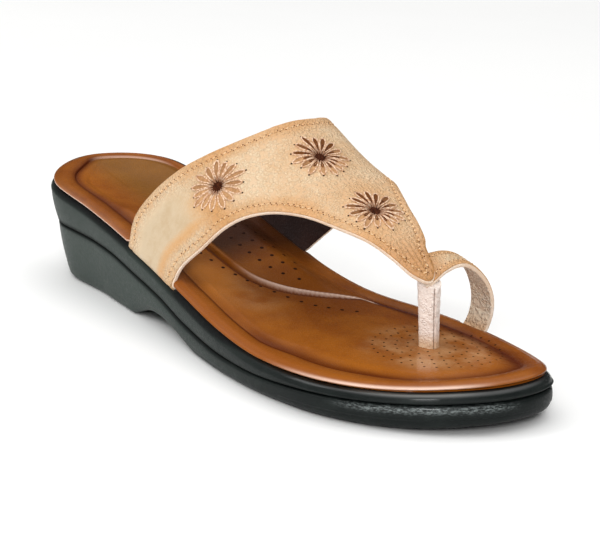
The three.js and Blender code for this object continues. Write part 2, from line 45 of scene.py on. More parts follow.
# Shape tables of the sandal in millimetres: x to the toe, y to the inner side, z up.
# The frame's origin is at x = middleX of these tables.
middleX = 1.3
outlinePoints = [
    (-123, 1.6), (-115.6, -16.4), (-101.2, -27.8), (-71, -31), (-35.7, -34), (0, -37.9), (29.8, -42.5),
    (54.7, -44.4), (78.6, -42), (98.6, -32.6), (114.8, -16.4), (124, 6.4), (120.7, 26.4), (103.6, 37.4),
    (77, 41.9), (51.2, 39.6), (19.2, 31.4), (-15, 29.2), (-50, 30.8), (-80.4, 31), (-103.6, 29),
    (-117.6, 18.2),
]
toePoint = 11  # which of them is the toe
soleSections = {
    "x": [-123, -105, -85, -60, -40, -20, 0, 25, 50, 75, 100, 124],
    "edge": [41.5, 39.7, 37.2, 33.3, 29.6, 25.4, 20.3, 16.1, 14.3, 13.6, 13.6, 15.2],
    "groove": [24, 23.8, 23.6, 22.2, 18.6, 15, 10, 7.5, 7.7, 9, 9.8, 11.3],
    "taper": [5.6, 8.8, 9.6, 7.6, 6, 4.6, 3.2, 2.2, 2.2, 3, 2.6, -0.6],
    "proud": [1.3, 1.1, 0.5, 0, 0, 0, 0, 0, 0, 0.3, 0.9, 2],
    "round": [3.2, 3.2, 3.2, 2.6, 2.4, 2.4, 2.4, 2.8, 3.6, 4.2, 4.2, 3.4],
    "drop": [0.6, 0.7, 0.5, 0.2, 0.3, 0.2, -0.1, 0, 0.9, 0.6, 0.2, 0],
    "lift": [0.9, 1.6, 1.5, 1.1, 0.8, 0.5, 0.4, 0.3, 0.3, -0.2, -0.5, 0.1],
}
instepSections = {
    "x": [-60, -40, -20, 5, 30, 55, 70, 90],
    "crown": [71.5, 71, 68.8, 63.4, 53.6, 44.4, 37.4, 23],
}


def smoothStep(value, low, high):
    t = np.clip((np.asarray(value, float) - low) / (high - low), 0, 1)
    return t * t * (3 - 2 * t)


# Up from the first limit to the second (down if the first is higher); four limits go up and down again
def ramp(value, start, full, fade=None, end=None):
    rising = smoothStep(value, start, full)
    return rising if fade is None else rising * smoothStep(value, end, fade)


def bell(value, middle, width):
    return np.exp(-(((value - middle) / width) ** 2))


# Shares by name from a piece's dictionary: strength "by", limits of ramps over the given measures,
# and for a measure's name with "At" the middle and width of a bell
def sharesOf(looks, **measures):
    def share(key):
        look = looks[key]
        total = look.get("by", 1)
        for name, value in measures.items():
            if name in look:
                total = total * ramp(value, *look[name])
            if name + "At" in look:
                total = total * bell(value, *look[name + "At"])
        return total

    return share


def mix(a, b, t):
    return a + (b - a) * t


def unit(ways):
    return ways / np.linalg.norm(ways, axis=-1, keepdims=True)


# Smooth curve through a table's rows, level beyond its ends
def curveThrough(xs, ys):
    xs, ys = np.array(xs, float), np.array(ys, float)
    last = len(xs) - 1
    before = np.maximum(np.arange(last + 1) - 1, 0)
    after = np.minimum(np.arange(last + 1) + 1, last)
    slope = (ys[after] - ys[before]) / (xs[after] - xs[before])

    def at(x):
        x = np.clip(np.asarray(x, float), xs[0], xs[-1])
        i = np.clip(np.searchsorted(xs, x) - 1, 0, last - 1)
        span, rise = xs[i + 1] - xs[i], ys[i + 1] - ys[i]
        t = (x - xs[i]) / span
        leave, arrive = slope[i] * span - rise, rise - slope[i + 1] * span
        return ys[i] + rise * t + t * (1 - t) * (leave * (1 - t) + arrive * t)

    return at


# A curve for each named column, over the table's x or the rows' numbers
def curvesOf(table, keys, xs=None):
    return {key: curveThrough(np.arange(len(table[key])) if xs is None else xs, table[key]) for key in keys}


soleAt = curvesOf(soleSections, list(soleSections)[1:], soleSections["x"])
crownAt = curveThrough(instepSections["x"], instepSections["crown"])


# Closed round curve through the outline's points
def roundCurve(points, perSpan):
    p = np.array(points, float)
    count = len(p)
    t = np.linspace(0, 1, perSpan, endpoint=False)[:, None]
    spans = []
    for i in range(count):
        p0, p1, p2, p3 = p[i - 1], p[i], p[(i + 1) % count], p[(i + 2) % count]
        d0, d1, d2 = (np.linalg.norm(b - a) ** 0.5 for a, b in ((p0, p1), (p1, p2), (p2, p3)))
        leave = ((p1 - p0) / d0 - (p2 - p0) / (d0 + d1) + (p2 - p1) / d1) * d1
        arrive = ((p2 - p1) / d1 - (p3 - p1) / (d1 + d2) + (p3 - p2) / d2) * d1
        square, cube = 3 * (p2 - p1) - 2 * leave - arrive, 2 * (p1 - p2) + leave + arrive
        spans.append(p1 + leave * t + square * t**2 + cube * t**3)
    return np.concatenate(spans)


perSpan = 160
denseLine = roundCurve(outlinePoints, perSpan)
denseWay = unit(np.roll(denseLine, -1, 0) - np.roll(denseLine, 1, 0))
denseIn = np.stack([-denseWay[:, 1], denseWay[:, 0]], 1)
toeIndex = toePoint * perSpan
outerOrder = np.arange(toeIndex + 1)
innerOrder = np.concatenate([[0], np.arange(len(denseLine) - 1, toeIndex - 1, -1)])


def runAlong(line):
    return np.concatenate([[0], np.cumsum(np.linalg.norm(np.diff(line, axis=0), axis=1))])


def takenAt(at, run, values):
    return np.stack([np.interp(at, run, column) for column in values.T], -1)


# One side of the outline from heel to toe, at even steps of its length
def sideStations(order, count):
    run = runAlong(denseLine[order])
    at = np.linspace(0, run[-1], count + 1)
    return takenAt(at, run, denseLine[order]), takenAt(at, run, denseIn[order])


def sidesAt(x):
    outer, inner = denseLine[outerOrder], denseLine[innerOrder]
    return np.interp(x, outer[:, 0], outer[:, 1]), np.interp(x, inner[:, 0], inner[:, 1])


spineEnds = (-93, 84)


# One closed loop of columns round the sole: base points, inward ways, and the spine that caps close on
def soleLoop(stations):
    outer, outerIn = sideStations(outerOrder, stations)
    inner, innerIn = sideStations(innerOrder, stations)
    middle = (outer + inner) / 2
    spineX = np.clip(middle[:, 0], *spineEnds)
    spine = np.stack([spineX, np.interp(spineX, middle[:, 0], middle[:, 1])], 1)
    sides = -np.ones(stations + 1), np.ones(stations + 1)
    pairs = {"base": (outer, inner), "inward": (outerIn, innerIn), "spine": (spine, spine), "side": sides}
    return {key: np.concatenate([a, b[-2::-1]]) for key, (a, b) in pairs.items()}


lean = {"reach": 34, "fadeFrom": 6, "fadeTo": 36}


# The sole's edge lies lower on the outer side and higher on the inner side
def leaned(points):
    points = np.array(points, float)
    x, y, z = points[..., 0], points[..., 1], points[..., 2]
    edge = soleAt["edge"](x)
    fade = np.minimum(1, z / edge) * smoothStep(z, edge + lean["fadeTo"], edge + lean["fadeFrom"])
    shift = np.where(y < 0, -soleAt["drop"](x), soleAt["lift"](x))
    points[..., 2] = z + shift * smoothStep(np.abs(y), 0, lean["reach"]) * fade
    return points


# Into the frame, in metres
def placed(points):
    points = leaned(points)
    points[..., 0] -= middleX
    return points * mm


# Modelling helpers
def added(primitive, **settings):
    bpy.ops.object.select_all(action="DESELECT")
    primitive(**settings)
    return bpy.context.object


def onlyActive(piece):
    bpy.ops.object.select_all(action="DESELECT")
    piece.select_set(True)
    bpy.context.view_layer.objects.active = piece


def pointsOf(piece, kind="co"):
    flat = np.empty(len(piece.data.vertices) * 3)
    piece.data.vertices.foreach_get(kind, flat)
    return flat.reshape(-1, 3)


def setPoints(piece, points):
    piece.data.vertices.foreach_set("co", points.ravel())
    piece.data.update()
    return piece


# A piece's points in the tables' millimetres
def whereIs(piece):
    x, y, z = pointsOf(piece).T / mm
    return x + middleX, y, z


# A grid is added and its points are laid on the form, rows by columns
def laidGrid(name, points):
    rows, columns = points.shape[:2]
    grid = bpy.ops.mesh.primitive_grid_add
    piece = added(grid, x_subdivisions=columns - 1, y_subdivisions=rows - 1, size=2)
    piece.name = piece.data.name = name
    share = (pointsOf(piece)[:, :2] + 1) / 2
    column = np.rint(share[:, 0] * (columns - 1)).astype(int)
    row = np.rint(share[:, 1] * (rows - 1)).astype(int)
    return setPoints(piece, points[row, column]), (row, column)


def onWholeMesh(piece, *tools):
    onlyActive(piece)
    bpy.ops.object.mode_set(mode="EDIT")
    for tool, settings in tools:
        bpy.ops.mesh.select_all(action="SELECT")
        tool(**settings)
    bpy.ops.object.mode_set(mode="OBJECT")


seamReach = 2e-6


def closeSeams(piece):
    tools = bpy.ops.mesh
    onWholeMesh(
        piece, (tools.remove_doubles, {"threshold": seamReach}), (tools.delete_loose, {}),
        (tools.normals_make_consistent, {"inside": False}),
    )


def addModifier(piece, kind, **settings):
    onlyActive(piece)
    modifier = piece.modifiers.new(kind.title(), kind)
    for key, value in settings.items():
        setattr(modifier, key, value)
    bpy.ops.object.modifier_apply(modifier=modifier.name)


def smoothed(piece, angle):
    onlyActive(piece)
    bpy.ops.object.shade_smooth_by_angle(angle=math.radians(angle))


sharpAngle, sheetAngle = 50, 60  # edges sharper than this stay crisp, on rubber and on hide


def mark(piece, **values):
    for name, numbers in values.items():
        layer = piece.data.attributes.new(name, "FLOAT", "POINT")
        layer.data.foreach_set("value", np.ascontiguousarray(numbers, dtype=np.float32))


def treeOf(points):
    flat = points.reshape(-1, 3)
    tree = KDTree(len(flat))
    for index, spot in enumerate(flat):
        tree.insert(spot, index)
    tree.balance()
    return tree


# Shortest way from every place to a line of points
def nearTo(points, line):
    tree = treeOf(line)
    return np.array([tree.find(spot)[2] for spot in points.reshape(-1, 3)]).reshape(points.shape[:-1])


def settle(piece, material, slot, *nodes):
    piece.data.materials.clear()
    piece.data.materials.append(material)
    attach(piece, "root")
    if nodes:
        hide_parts(*nodes)
    return piece


def surfaceOf(piece):
    return BVHTree.FromObject(piece, bpy.context.evaluated_depsgraph_get())


# Turn and place from three axes and a spot
def frameOf(*axes):
    return Matrix([[axis[k] for axis in axes] for k in range(3)] + [[0, 0, 0, 1]])


def movedBy(place, points):
    if callable(place):
        return place(points)
    return points @ np.array(place.to_3x3()).T + np.array(place.translation)


# Many copies of one small modelled shape, each turned and placed, joined as one piece
def joinedCopies(name, shape, places, **values):
    base = pointsOf(shape)
    faces = [list(face.vertices) for face in shape.data.polygons]
    spots, sides = [], []
    for number, place in enumerate(places):
        spots.append(movedBy(place, base))
        sides += [[corner + number * len(base) for corner in face] for face in faces]
    mesh = bpy.data.meshes.new(name)
    mesh.from_pydata(np.concatenate(spots).tolist(), [], sides)
    mesh.update()
    piece = bpy.data.objects.new(name, mesh)
    bpy.context.collection.objects.link(piece)
    mark(piece, **{key: np.repeat(numbers, len(base)) for key, numbers in values.items()})
    bpy.data.objects.remove(shape, do_unlink=True)
    onlyActive(piece)
    bpy.ops.object.shade_smooth()
    return piece


# Shader helpers
def tone(red, green, blue):
    flat = [c / 255 for c in (red, green, blue)]
    return tuple(c / 12.92 if c <= 0.04045 else ((c + 0.055) / 1.055) ** 2.4 for c in flat) + (1,)


def feed(tree, socket, value):
    if isinstance(value, bpy.types.NodeSocket):
        tree.links.new(value, socket)
    else:
        socket.default_value = value


def blend(tree, factor, a, b):
    step = tree.nodes.new("ShaderNodeMix")
    step.data_type = "RGBA"
    for index, value in ((0, factor), (6, a), (7, b)):
        feed(tree, step.inputs[index], value)
    return step.outputs[2]


def computed(tree, how, a, b, clamp):
    step = tree.nodes.new("ShaderNodeMath")
    step.operation, step.use_clamp = how, clamp
    feed(tree, step.inputs[0], a)
    feed(tree, step.inputs[1], b)
    return step.outputs[0]


def times(tree, a, b, clamp=False):
    return computed(tree, "MULTIPLY", a, b, clamp)


def plus(tree, a, b, clamp=False):
    return computed(tree, "ADD", a, b, clamp)


def ranged(tree, value, low, high, toLow=0.0, toHigh=1.0):
    step = tree.nodes.new("ShaderNodeMapRange")
    step.interpolation_type = "SMOOTHSTEP"
    for name, number in (("From Min", low), ("From Max", high), ("To Min", toLow), ("To Max", toHigh)):
        step.inputs[name].default_value = number
    feed(tree, step.inputs["Value"], value)
    return step.outputs[0]


def noise(tree, place, scale, detail=4.0, rough=0.55, stretch=None, output="Fac"):
    step = tree.nodes.new("ShaderNodeTexNoise")
    feed(tree, step.inputs["Scale"], scale)
    step.inputs["Detail"].default_value = detail
    step.inputs["Roughness"].default_value = rough
    if stretch:
        turn = tree.nodes.new("ShaderNodeMapping")
        turn.inputs["Scale"].default_value = stretch
        feed(tree, turn.inputs["Vector"], place)
        place = turn.outputs["Vector"]
    feed(tree, step.inputs["Vector"], place)
    return step.outputs[output]


def cells(tree, place, scale):
    step = tree.nodes.new("ShaderNodeTexVoronoi")
    feed(tree, step.inputs["Scale"], scale)
    feed(tree, step.inputs["Vector"], place)
    return step.outputs["Distance"]


def attribute(tree, name):
    step = tree.nodes.new("ShaderNodeAttribute")
    step.attribute_name = name
    return step.outputs["Fac"]


def newGroup(name, inputs, outputs):
    group = bpy.data.node_groups.new(name, "ShaderNodeTree")
    for way, labels in (("INPUT", inputs), ("OUTPUT", outputs)):
        for label in labels:
            kind = "NodeSocketVector" if label == "Place" else "NodeSocketFloat"
            group.interface.new_socket(label, in_out=way, socket_type=kind)
    return group, group.nodes.new("NodeGroupInput").outputs, group.nodes.new("NodeGroupOutput").inputs


# Pebbled hide: rounded cells with fine creases, and slow cloudy patches, scaled by the cells
grain = {"bend": 0.0016, "bendScale": 700, "creaseScale": 0.23, "cloudScale": 0.055}


def hideGroup(look):
    group, given, out = newGroup("hideGrain", ["Place", "Scale", "Crease"], ["Height", "Cloud"])
    place, scale = given["Place"], given["Scale"]
    drift = noise(group, place, look["bendScale"], 2.0, 0.5, output="Color")
    bent = blend(group, look["bend"], place, drift)
    pebble = ranged(group, cells(group, bent, scale), 0.05, 0.75, 1.0, 0.0)
    crease = noise(group, place, times(group, scale, look["creaseScale"]), 3.0, 0.6)
    feed(group, out["Height"], plus(group, pebble, times(group, crease, given["Crease"])))
    feed(group, out["Cloud"], noise(group, place, times(group, scale, look["cloudScale"]), 5.0, 0.6))
    return group


# Handling marks: soft scuffs for colour and gloss, and finer ones
scuff = {"from": 0.42, "to": 0.66, "fineScale": 14.0}


def scuffGroup(look):
    group, given, out = newGroup("scuffs", ["Place", "Scale"], ["Mask", "Fine"])
    place, scale = given["Place"], given["Scale"]
    soft = noise(group, place, scale, 6.0, 0.65)
    feed(group, out["Mask"], ranged(group, soft, look["from"], look["to"]))
    feed(group, out["Fine"], noise(group, place, times(group, scale, look["fineScale"]), 3.0, 0.6))
    return group


hideGrain = hideGroup(grain)
scuffs = scuffGroup(scuff)


def placedGroup(tree, group, place, **values):
    step = tree.nodes.new("ShaderNodeGroup")
    step.node_tree = group
    feed(tree, step.inputs["Place"], place)
    for key, value in values.items():
        step.inputs[key.title()].default_value = value
    return step.outputs


def newMaterial(name, settings):
    material = bpy.data.materials.new(name)
    material.use_nodes = True
    tree = material.node_tree
    shader = tree.nodes["Principled BSDF"]
    for key, value in settings.items():
        shader.inputs[key].default_value = value
    return material, tree, shader, tree.nodes.new("ShaderNodeTexCoord").outputs["Object"]


# Joins colour, roughness, relief and coat to the shader
def wire(tree, shader, colour, rough, height, depth, coat=0.0):
    for key, value in (("Base Color", colour), ("Roughness", rough), ("Coat Weight", coat)):
        feed(tree, shader.inputs[key], value)
    step = tree.nodes.new("ShaderNodeBump")
    step.inputs["Strength"].default_value = 1.0
    step.inputs["Distance"].default_value = depth
    feed(tree, step.inputs["Height"], height)
    tree.links.new(step.outputs["Normal"], shader.inputs["Normal"])


# Roughness between two values, by the finest marks
def glossed(tree, fine, gloss):
    return ranged(tree, fine, 0.3, 0.7, *gloss)


# Tan strap hide: cream and smooth at the roots, pebbled elsewhere, burnt orange along the edges, and the
# burnt tone also painted as shade over its forward part
strapHide = {
    "cream": tone(226, 202, 168), "tan": tone(217, 184, 144),
    "root": (tone(204, 183, 152), tone(195, 170, 136)),
    # burnt colours the edges, and is also painted shade on the strap's forward part
    "burnt": tone(210, 158, 102), "tip": tone(188, 130, 64), "valley": tone(176, 118, 68),
    "deep": tone(84, 40, 14), "grainScale": 940, "grainDepth": 0.0004, "crease": 0.35,
    "rubScale": 110, "gloss": (0.34, 0.54),
}


def strapHideMaterial(name, look):
    material, tree, shader, place = newMaterial(name, {"Specular IOR Level": 0.35, "Coat Roughness": 0.25})
    hide = placedGroup(tree, hideGrain, place, scale=look["grainScale"], crease=look["crease"])
    rub = placedGroup(tree, scuffs, place, scale=look["rubScale"])
    burnish, plain, tip = (attribute(tree, key) for key in ("burnish", "plain", "tip"))
    body = blend(tree, ranged(tree, hide["Cloud"], 0.36, 0.64), look["tan"], look["cream"])
    body = blend(tree, plain, body, blend(tree, rub["Mask"], *look["root"]))
    drift = times(tree, plus(tree, rub["Fine"], -0.5), 0.7)
    warm = times(tree, plus(tree, burnish, drift), ranged(tree, burnish, 0.02, 0.3), True)
    body = blend(tree, warm, body, look["burnt"])
    body = blend(tree, tip, body, look["tip"])
    relief = ranged(tree, plain, 0.0, 1.0, 1.0, 0.1)
    valley = times(tree, ranged(tree, hide["Height"], 0.2, 0.8, 0.3, 0.0), relief)
    body = blend(tree, valley, body, look["valley"])
    body = blend(tree, attribute(tree, "petalPit"), body, look["deep"])
    rough = glossed(tree, rub["Fine"], look["gloss"])
    coat = plus(tree, ranged(tree, burnish, 0.4, 1.0, 0.0, 0.25), times(tree, tip, 0.7), True)
    wire(tree, shader, body, rough, times(tree, hide["Height"], relief), look["grainDepth"], coat)
    return material


# Plain hides and linings: two tones, pebbles, soft gloss, and a third tone where the piece is marked
def plainHideMaterial(
    name, light, dark, grainScale, depth, crease=1.0, gloss=(0.45, 0.65), coat=0.0, stain=None, rubScale=140
):
    material, tree, shader, place = newMaterial(name, {"Specular IOR Level": 0.35, "Coat Roughness": 0.35})
    hide = placedGroup(tree, hideGrain, place, scale=grainScale, crease=crease)
    rub = placedGroup(tree, scuffs, place, scale=rubScale)
    body = blend(tree, ranged(tree, hide["Cloud"], 0.35, 0.65), light, dark)
    body = blend(tree, ranged(tree, hide["Height"], 0.4, 1.1, 0.5, 0.0), body, dark)
    for key, colour in (stain or {}).items():
        body = blend(tree, attribute(tree, key), body, colour)
    rough = glossed(tree, rub["Fine"], gloss)
    shine = ranged(tree, rub["Mask"], 0.0, 1.0, coat, coat * 0.5)
    wire(tree, shader, body, rough, hide["Height"], depth, shine)
    return material


# Burnished footbed hide, glossy, orange towards the rim, with painted dark red shade in the creases; painted
# shade, sheen, light and highlights where it is marked
footbedHide = {
    "amber": tone(152, 87, 24), "brown": tone(128, 66, 16), "rim": tone(140, 76, 21),
    # the painted sheen's colour
    "sheen": tone(174, 126, 82),
    "marks": {  # in this order, each over the ones before
        # bright paints light, crease and shaded paint shade, crest paints highlights; olive is a tint
        "bright": tone(214, 132, 50), "olive": tone(110, 80, 30), "crease": tone(72, 19, 0),
        "shaded": tone(34, 12, 4), "crest": tone(240, 208, 190),
    },
    "grainScale": 1500, "grainDepth": 0.00006, "crease": 1.5, "rubScale": 45, "gloss": (0.3, 0.46),
    "cloudScale": 18, "dullScale": 90,
}


def footbedMaterial(name, look):
    settings = {"Specular IOR Level": 0.05, "Coat Roughness": 0.14, "Coat IOR": 1.45}
    material, tree, shader, place = newMaterial(name, settings)
    hide = placedGroup(tree, hideGrain, place, scale=look["grainScale"], crease=look["crease"])
    rub = placedGroup(tree, scuffs, place, scale=look["rubScale"])
    cloud = times(tree, plus(tree, hide["Cloud"], noise(tree, place, look["cloudScale"], 3.0)), 0.5)
    body = blend(tree, ranged(tree, cloud, 0.36, 0.64), look["brown"], look["amber"])
    body = blend(tree, attribute(tree, "rim"), body, look["rim"])
    # painted sheen, broken into patches
    dull = ranged(tree, noise(tree, place, look["dullScale"]), 0.35, 0.65)
    body = blend(tree, times(tree, attribute(tree, "sheen"), dull), body, look["sheen"])
    for key, colour in look["marks"].items():
        body = blend(tree, attribute(tree, key), body, colour)
    rough = glossed(tree, rub["Fine"], look["gloss"])
    coat = times(tree, attribute(tree, "gloss"), ranged(tree, rub["Mask"], 0.0, 1.0, 1.0, 0.6))
    wire(tree, shader, body, rough, hide["Height"], look["grainDepth"], coat)
    return material


# Dark moulded rubber with a dull skin; painted shade blacker in its recess and groove, painted light towards
# the heel, painted highlights on the band's shoulder and, with scuffs, along the toe's lip
rubberSkin = {
    # the pair of greens is painted light, a lit and speckled grey-green
    "dark": tone(18, 23, 22), "grey": tone(30, 36, 34), "dust": (tone(46, 55, 50), tone(61, 71, 66)),
    # the lip's pale scuffs and painted glints, the shoulder's painted highlight, and painted shade in the
    # recess
    "worn": tone(128, 136, 135), "chalk": tone(150, 150, 146), "recess": tone(14, 16, 16),
    "rubScale": 60, "streakScale": 1300, "streakStretch": (0.5, 0.5, 1.6),
    "gritScale": 1500, "gritDepth": 0.00012,
}


def rubberMaterial(name, look, gloss):
    material, tree, shader, place = newMaterial(name, {"Specular IOR Level": 0.14, "Coat Roughness": 0.14})
    rub = placedGroup(tree, scuffs, place, scale=look["rubScale"])
    grit = noise(tree, place, look["gritScale"], 3.0, 0.7)
    body = blend(tree, ranged(tree, rub["Mask"], 0.0, 1.0, 0.0, 0.5), look["dark"], look["grey"])
    # painted light: a lit, speckled grey-green towards the heel
    body = blend(tree, attribute(tree, "dusty"), body, blend(tree, rub["Fine"], *look["dust"]))
    streak = noise(tree, place, look["streakScale"], 4.0, 0.75, look["streakStretch"])
    # pale streaks on the lip: scuffs with painted highlight glints
    worn = times(tree, attribute(tree, "lipWear"), ranged(tree, streak, 0.42, 0.66))
    # painted shade: black in the recess under the footbed's rim and in the groove
    recess = attribute(tree, "recess")
    for share, key in ((worn, "worn"), (attribute(tree, "chalk"), "chalk"), (recess, "recess")):
        body = blend(tree, share, body, look[key])
    rough = plus(tree, glossed(tree, rub["Fine"], gloss), ranged(tree, recess, 0.0, 1.0, 0.0, 0.25))
    wire(tree, shader, body, rough, grit, look["gritDepth"], attribute(tree, "shine"))
    return material


# Threads, which darken to their shade near a rosette's eye
threadLook = {"shade": tone(112, 62, 26), "plyScale": 1400, "plyDepth": 0.0001}


def threadMaterial(name, light, dark, gloss, sheen, glint=0.5):
    settings = {"Sheen Weight": sheen, "Sheen Roughness": 0.4, "Specular IOR Level": glint}
    material, tree, shader, place = newMaterial(name, settings)
    ply = noise(tree, place, threadLook["plyScale"], 2.0)
    body = blend(tree, ranged(tree, ply, 0.3, 0.7), light, dark)
    body = blend(tree, attribute(tree, "shade"), body, threadLook["shade"])
    wire(tree, shader, body, ranged(tree, ply, 0.2, 0.8, *gloss), ply, threadLook["plyDepth"])
    return material


# Hide inside the embroidered petals: tan, and olive brown as painted shade on the petals that point uphill
petalHide = {"patchScale": 900, "patchDepth": 0.0002}


def petalMaterial(name, light, dark):
    material, tree, shader, place = newMaterial(name, {"Specular IOR Level": 0.08})
    patch = noise(tree, place, petalHide["patchScale"], 3.0)
    body = blend(tree, attribute(tree, "shade"), light, dark)
    body = blend(tree, ranged(tree, patch, 0.35, 0.7, 0.0, 0.35), body, dark)
    wire(tree, shader, body, glossed(tree, patch, (0.5, 0.7)), patch, petalHide["patchDepth"])
    return material


ringStain = {"tanFoot": tone(206, 150, 92)}
postStain = {"tanFoot": tone(220, 174, 116), "seam": tone(112, 72, 50)}
materials = {
    "strap": strapHideMaterial("strapHide", strapHide),
    "edge": plainHideMaterial("paleEdge", tone(250, 234, 216), tone(236, 208, 180), 1300, 0.0001),
    "inside": plainHideMaterial("darkLining", tone(50, 24, 17), tone(34, 15, 11), 1200, 0.0001),
    "ring": plainHideMaterial(
        "ringLining", tone(255, 248, 232), tone(248, 230, 204), 900, 0.0005, 1.3, stain=ringStain),
    "post": plainHideMaterial(
        "postHide", tone(254, 246, 238), tone(250, 236, 226), 1100, 0.0002, 1.2,
        (0.36, 0.5), 0.15, postStain),
    "footbed": footbedMaterial("footbedHide", footbedHide),
    "band": rubberMaterial("bandRubber", rubberSkin, (0.4, 0.54)),
    "bottom": rubberMaterial("bottomRubber", rubberSkin, (0.36, 0.5)),
    "stitch": threadMaterial("stitchThread", tone(236, 204, 160), tone(204, 154, 100), (0.4, 0.6), 0.2),
    "silk": threadMaterial("silkThread", tone(240, 212, 184), tone(184, 132, 92), (0.3, 0.46), 0.05, 0.25),
    "brownSilk": threadMaterial("brownThread", tone(134, 80, 40), tone(74, 38, 15), (0.4, 0.6), 0.0, 0.15),
    "petal": petalMaterial("petalHide", tone(210, 164, 118), tone(104, 60, 25)),
    # needle marks, rosette eyes and holes: dark tones for the painted shade inside holes
    "needle": threadMaterial("needleMark", tone(124, 74, 38), tone(88, 50, 24), (0.6, 0.8), 0.0, 0.1),
    "eye": threadMaterial("eyeBrown", tone(76, 36, 16), tone(44, 18, 8), (0.6, 0.8), 0.0, 0.05),
    "hole": threadMaterial("holeDark", tone(50, 22, 9), tone(30, 13, 6), (0.6, 0.8), 0.0, 0.05),
}
print("materials mixed:", len(materials))

# Where the straps go down past the sole's edge: from, to, side; and how softly each gate opens
strapGates = [(-41.6, -7.4, -1), (-43.2, -11.9, 1), (62.9, 75.1, 1)]
gateOut, gateIn = 1.5, 1


def gateAt(x, side):
    opened = np.zeros_like(x)
    for low, high, where in strapGates:
        window = ramp(x, low - gateOut, low + gateIn, high - gateIn, high + gateOut)
        opened = np.maximum(opened, window * (side == where))
    return opened


def leanIn(x, z):
    return soleAt["taper"](x) * (1 - z / soleAt["edge"](x)) - soleAt["proud"](x)


def ringRow(loop, inset, height):
    flat = loop["base"] + loop["inward"] * np.broadcast_to(inset, loop["side"].shape)[:, None]
    return np.concatenate([flat, np.broadcast_to(height, loop["side"].shape)[:, None]], 1)


# Rows from a ring to the spine, with a height for each place
def capRows(loop, row, count, height, outward=False):
    rows = []
    for share in np.linspace(0, 1, count + 1)[1:]:
        flat = mix(row[:, :2], loop["spine"], share)
        rows.append(np.concatenate([flat, height(flat[:, 0], flat[:, 1], share)[:, None]], 1))
    return rows[::-1] if outward else rows


def quarter(count):
    return np.linspace(0, np.pi / 2, count)


underside = {
    "breastX": -48, "peakX": -26, "endX": 6, "rise": 6.4, "ease": 1.3,
    "springX": 88, "toeX": 124, "spring": 3.2,
}


def underAt(x):
    u = underside
    share = lambda start, end: np.clip((x - start) / (end - start), 0, 1)
    rising = u["rise"] * np.sin(share(u["breastX"], u["peakX"]) * np.pi / 2)
    falling = u["rise"] * np.sin(share(u["endX"], u["peakX"]) * np.pi / 2) ** u["ease"]
    return np.where(x <= u["peakX"], rising, falling) + u["spring"] * share(u["springX"], u["toeX"]) ** 2


# Rubber bottom: rounded at the ground, a slightly bulged wall, a rough lip under the groove
bottomShape = {
    "stations": 200, "seam": 0.15, "lip": 0.9, "lipOut": 0.1, "bulge": 0.5, "bulgeUp": 1.3, "groove": 1.5,
    "cornerRows": 10, "wallRows": 15, "lipRows": 8, "underRows": 14, "topRows": 4,
    # on the toe's lip: scuffs with painted highlight glints
    "worn": {"lipAt": (-1.7, 1.1), "x": (83.3, 101.3), "y": (12, -4)}, "wornShine": 0.6,
    # painted light towards the heel; painted shade in the groove
    "dust": {"x": (81.3, -48.7)}, "recess": {"lipAt": (0, 1.4), "x": (61.3, 21.3)},
}


def makeBottom(shape):
    loop = soleLoop(shape["stations"])
    x = loop["base"][:, 0]
    under, top, corner = underAt(x), soleAt["groove"](x) - shape["seam"], soleAt["round"](x)
    wall = lambda z, inset: ringRow(loop, leanIn(x, z) + inset, z)
    rows = []
    for turn in quarter(shape["cornerRows"]):
        rows.append(wall(under + corner * (1 - np.cos(turn)), corner * (1 - np.sin(turn))))
    for share in np.linspace(0, 1, shape["wallRows"])[1:]:
        z = mix(under + corner, top - shape["lip"], share)
        swell = np.sin(np.pi * np.clip((z - under) / (top - under), 0, 1) ** shape["bulgeUp"])
        rows.append(wall(z, -shape["bulge"] * swell))
    for turn in quarter(shape["lipRows"])[1:]:
        inset = shape["groove"] * (1 - np.cos(turn)) - shape["lipOut"]
        rows.append(wall(top - shape["lip"] * (1 - np.sin(turn)), inset))
    over = lambda cx, cy, share: soleAt["groove"](cx) - shape["seam"]
    foot = capRows(loop, rows[0], shape["underRows"], lambda cx, cy, share: underAt(cx), True)
    head = capRows(loop, rows[-1], shape["topRows"], over)
    piece, _ = laidGrid("soleBottom", placed(np.array(foot + rows + head)))
    closeSeams(piece)
    x, y, z = whereIs(piece)
    at = sharesOf(shape, x=x, y=y, lip=z - soleAt["groove"](x))
    # scuffs with painted highlight glints on the lip, painted light towards the heel, painted shade in the
    # groove
    worn = at("worn")
    mark(piece, lipWear=worn, shine=shape["wornShine"] * worn, dusty=at("dust"), recess=at("recess"))
    smoothed(piece, sharpAngle)
    return settle(piece, materials["bottom"], "outsole", "outsole")


soleBottom = makeBottom(bottomShape)
print("rubber bottom made:", len(soleBottom.data.polygons), "faces")

# Heel cup in the footbed and in the band below it
cup = {"depth": 3, "x": -84, "reachX": 36, "reachY": 26}


def bedDrop(x, y):
    inside = 1 - np.minimum(1, ((x - cup["x"]) / cup["reachX"]) ** 2 + (y / cup["reachY"]) ** 2)
    return cup["depth"] * smoothStep(inside, 0, 1)


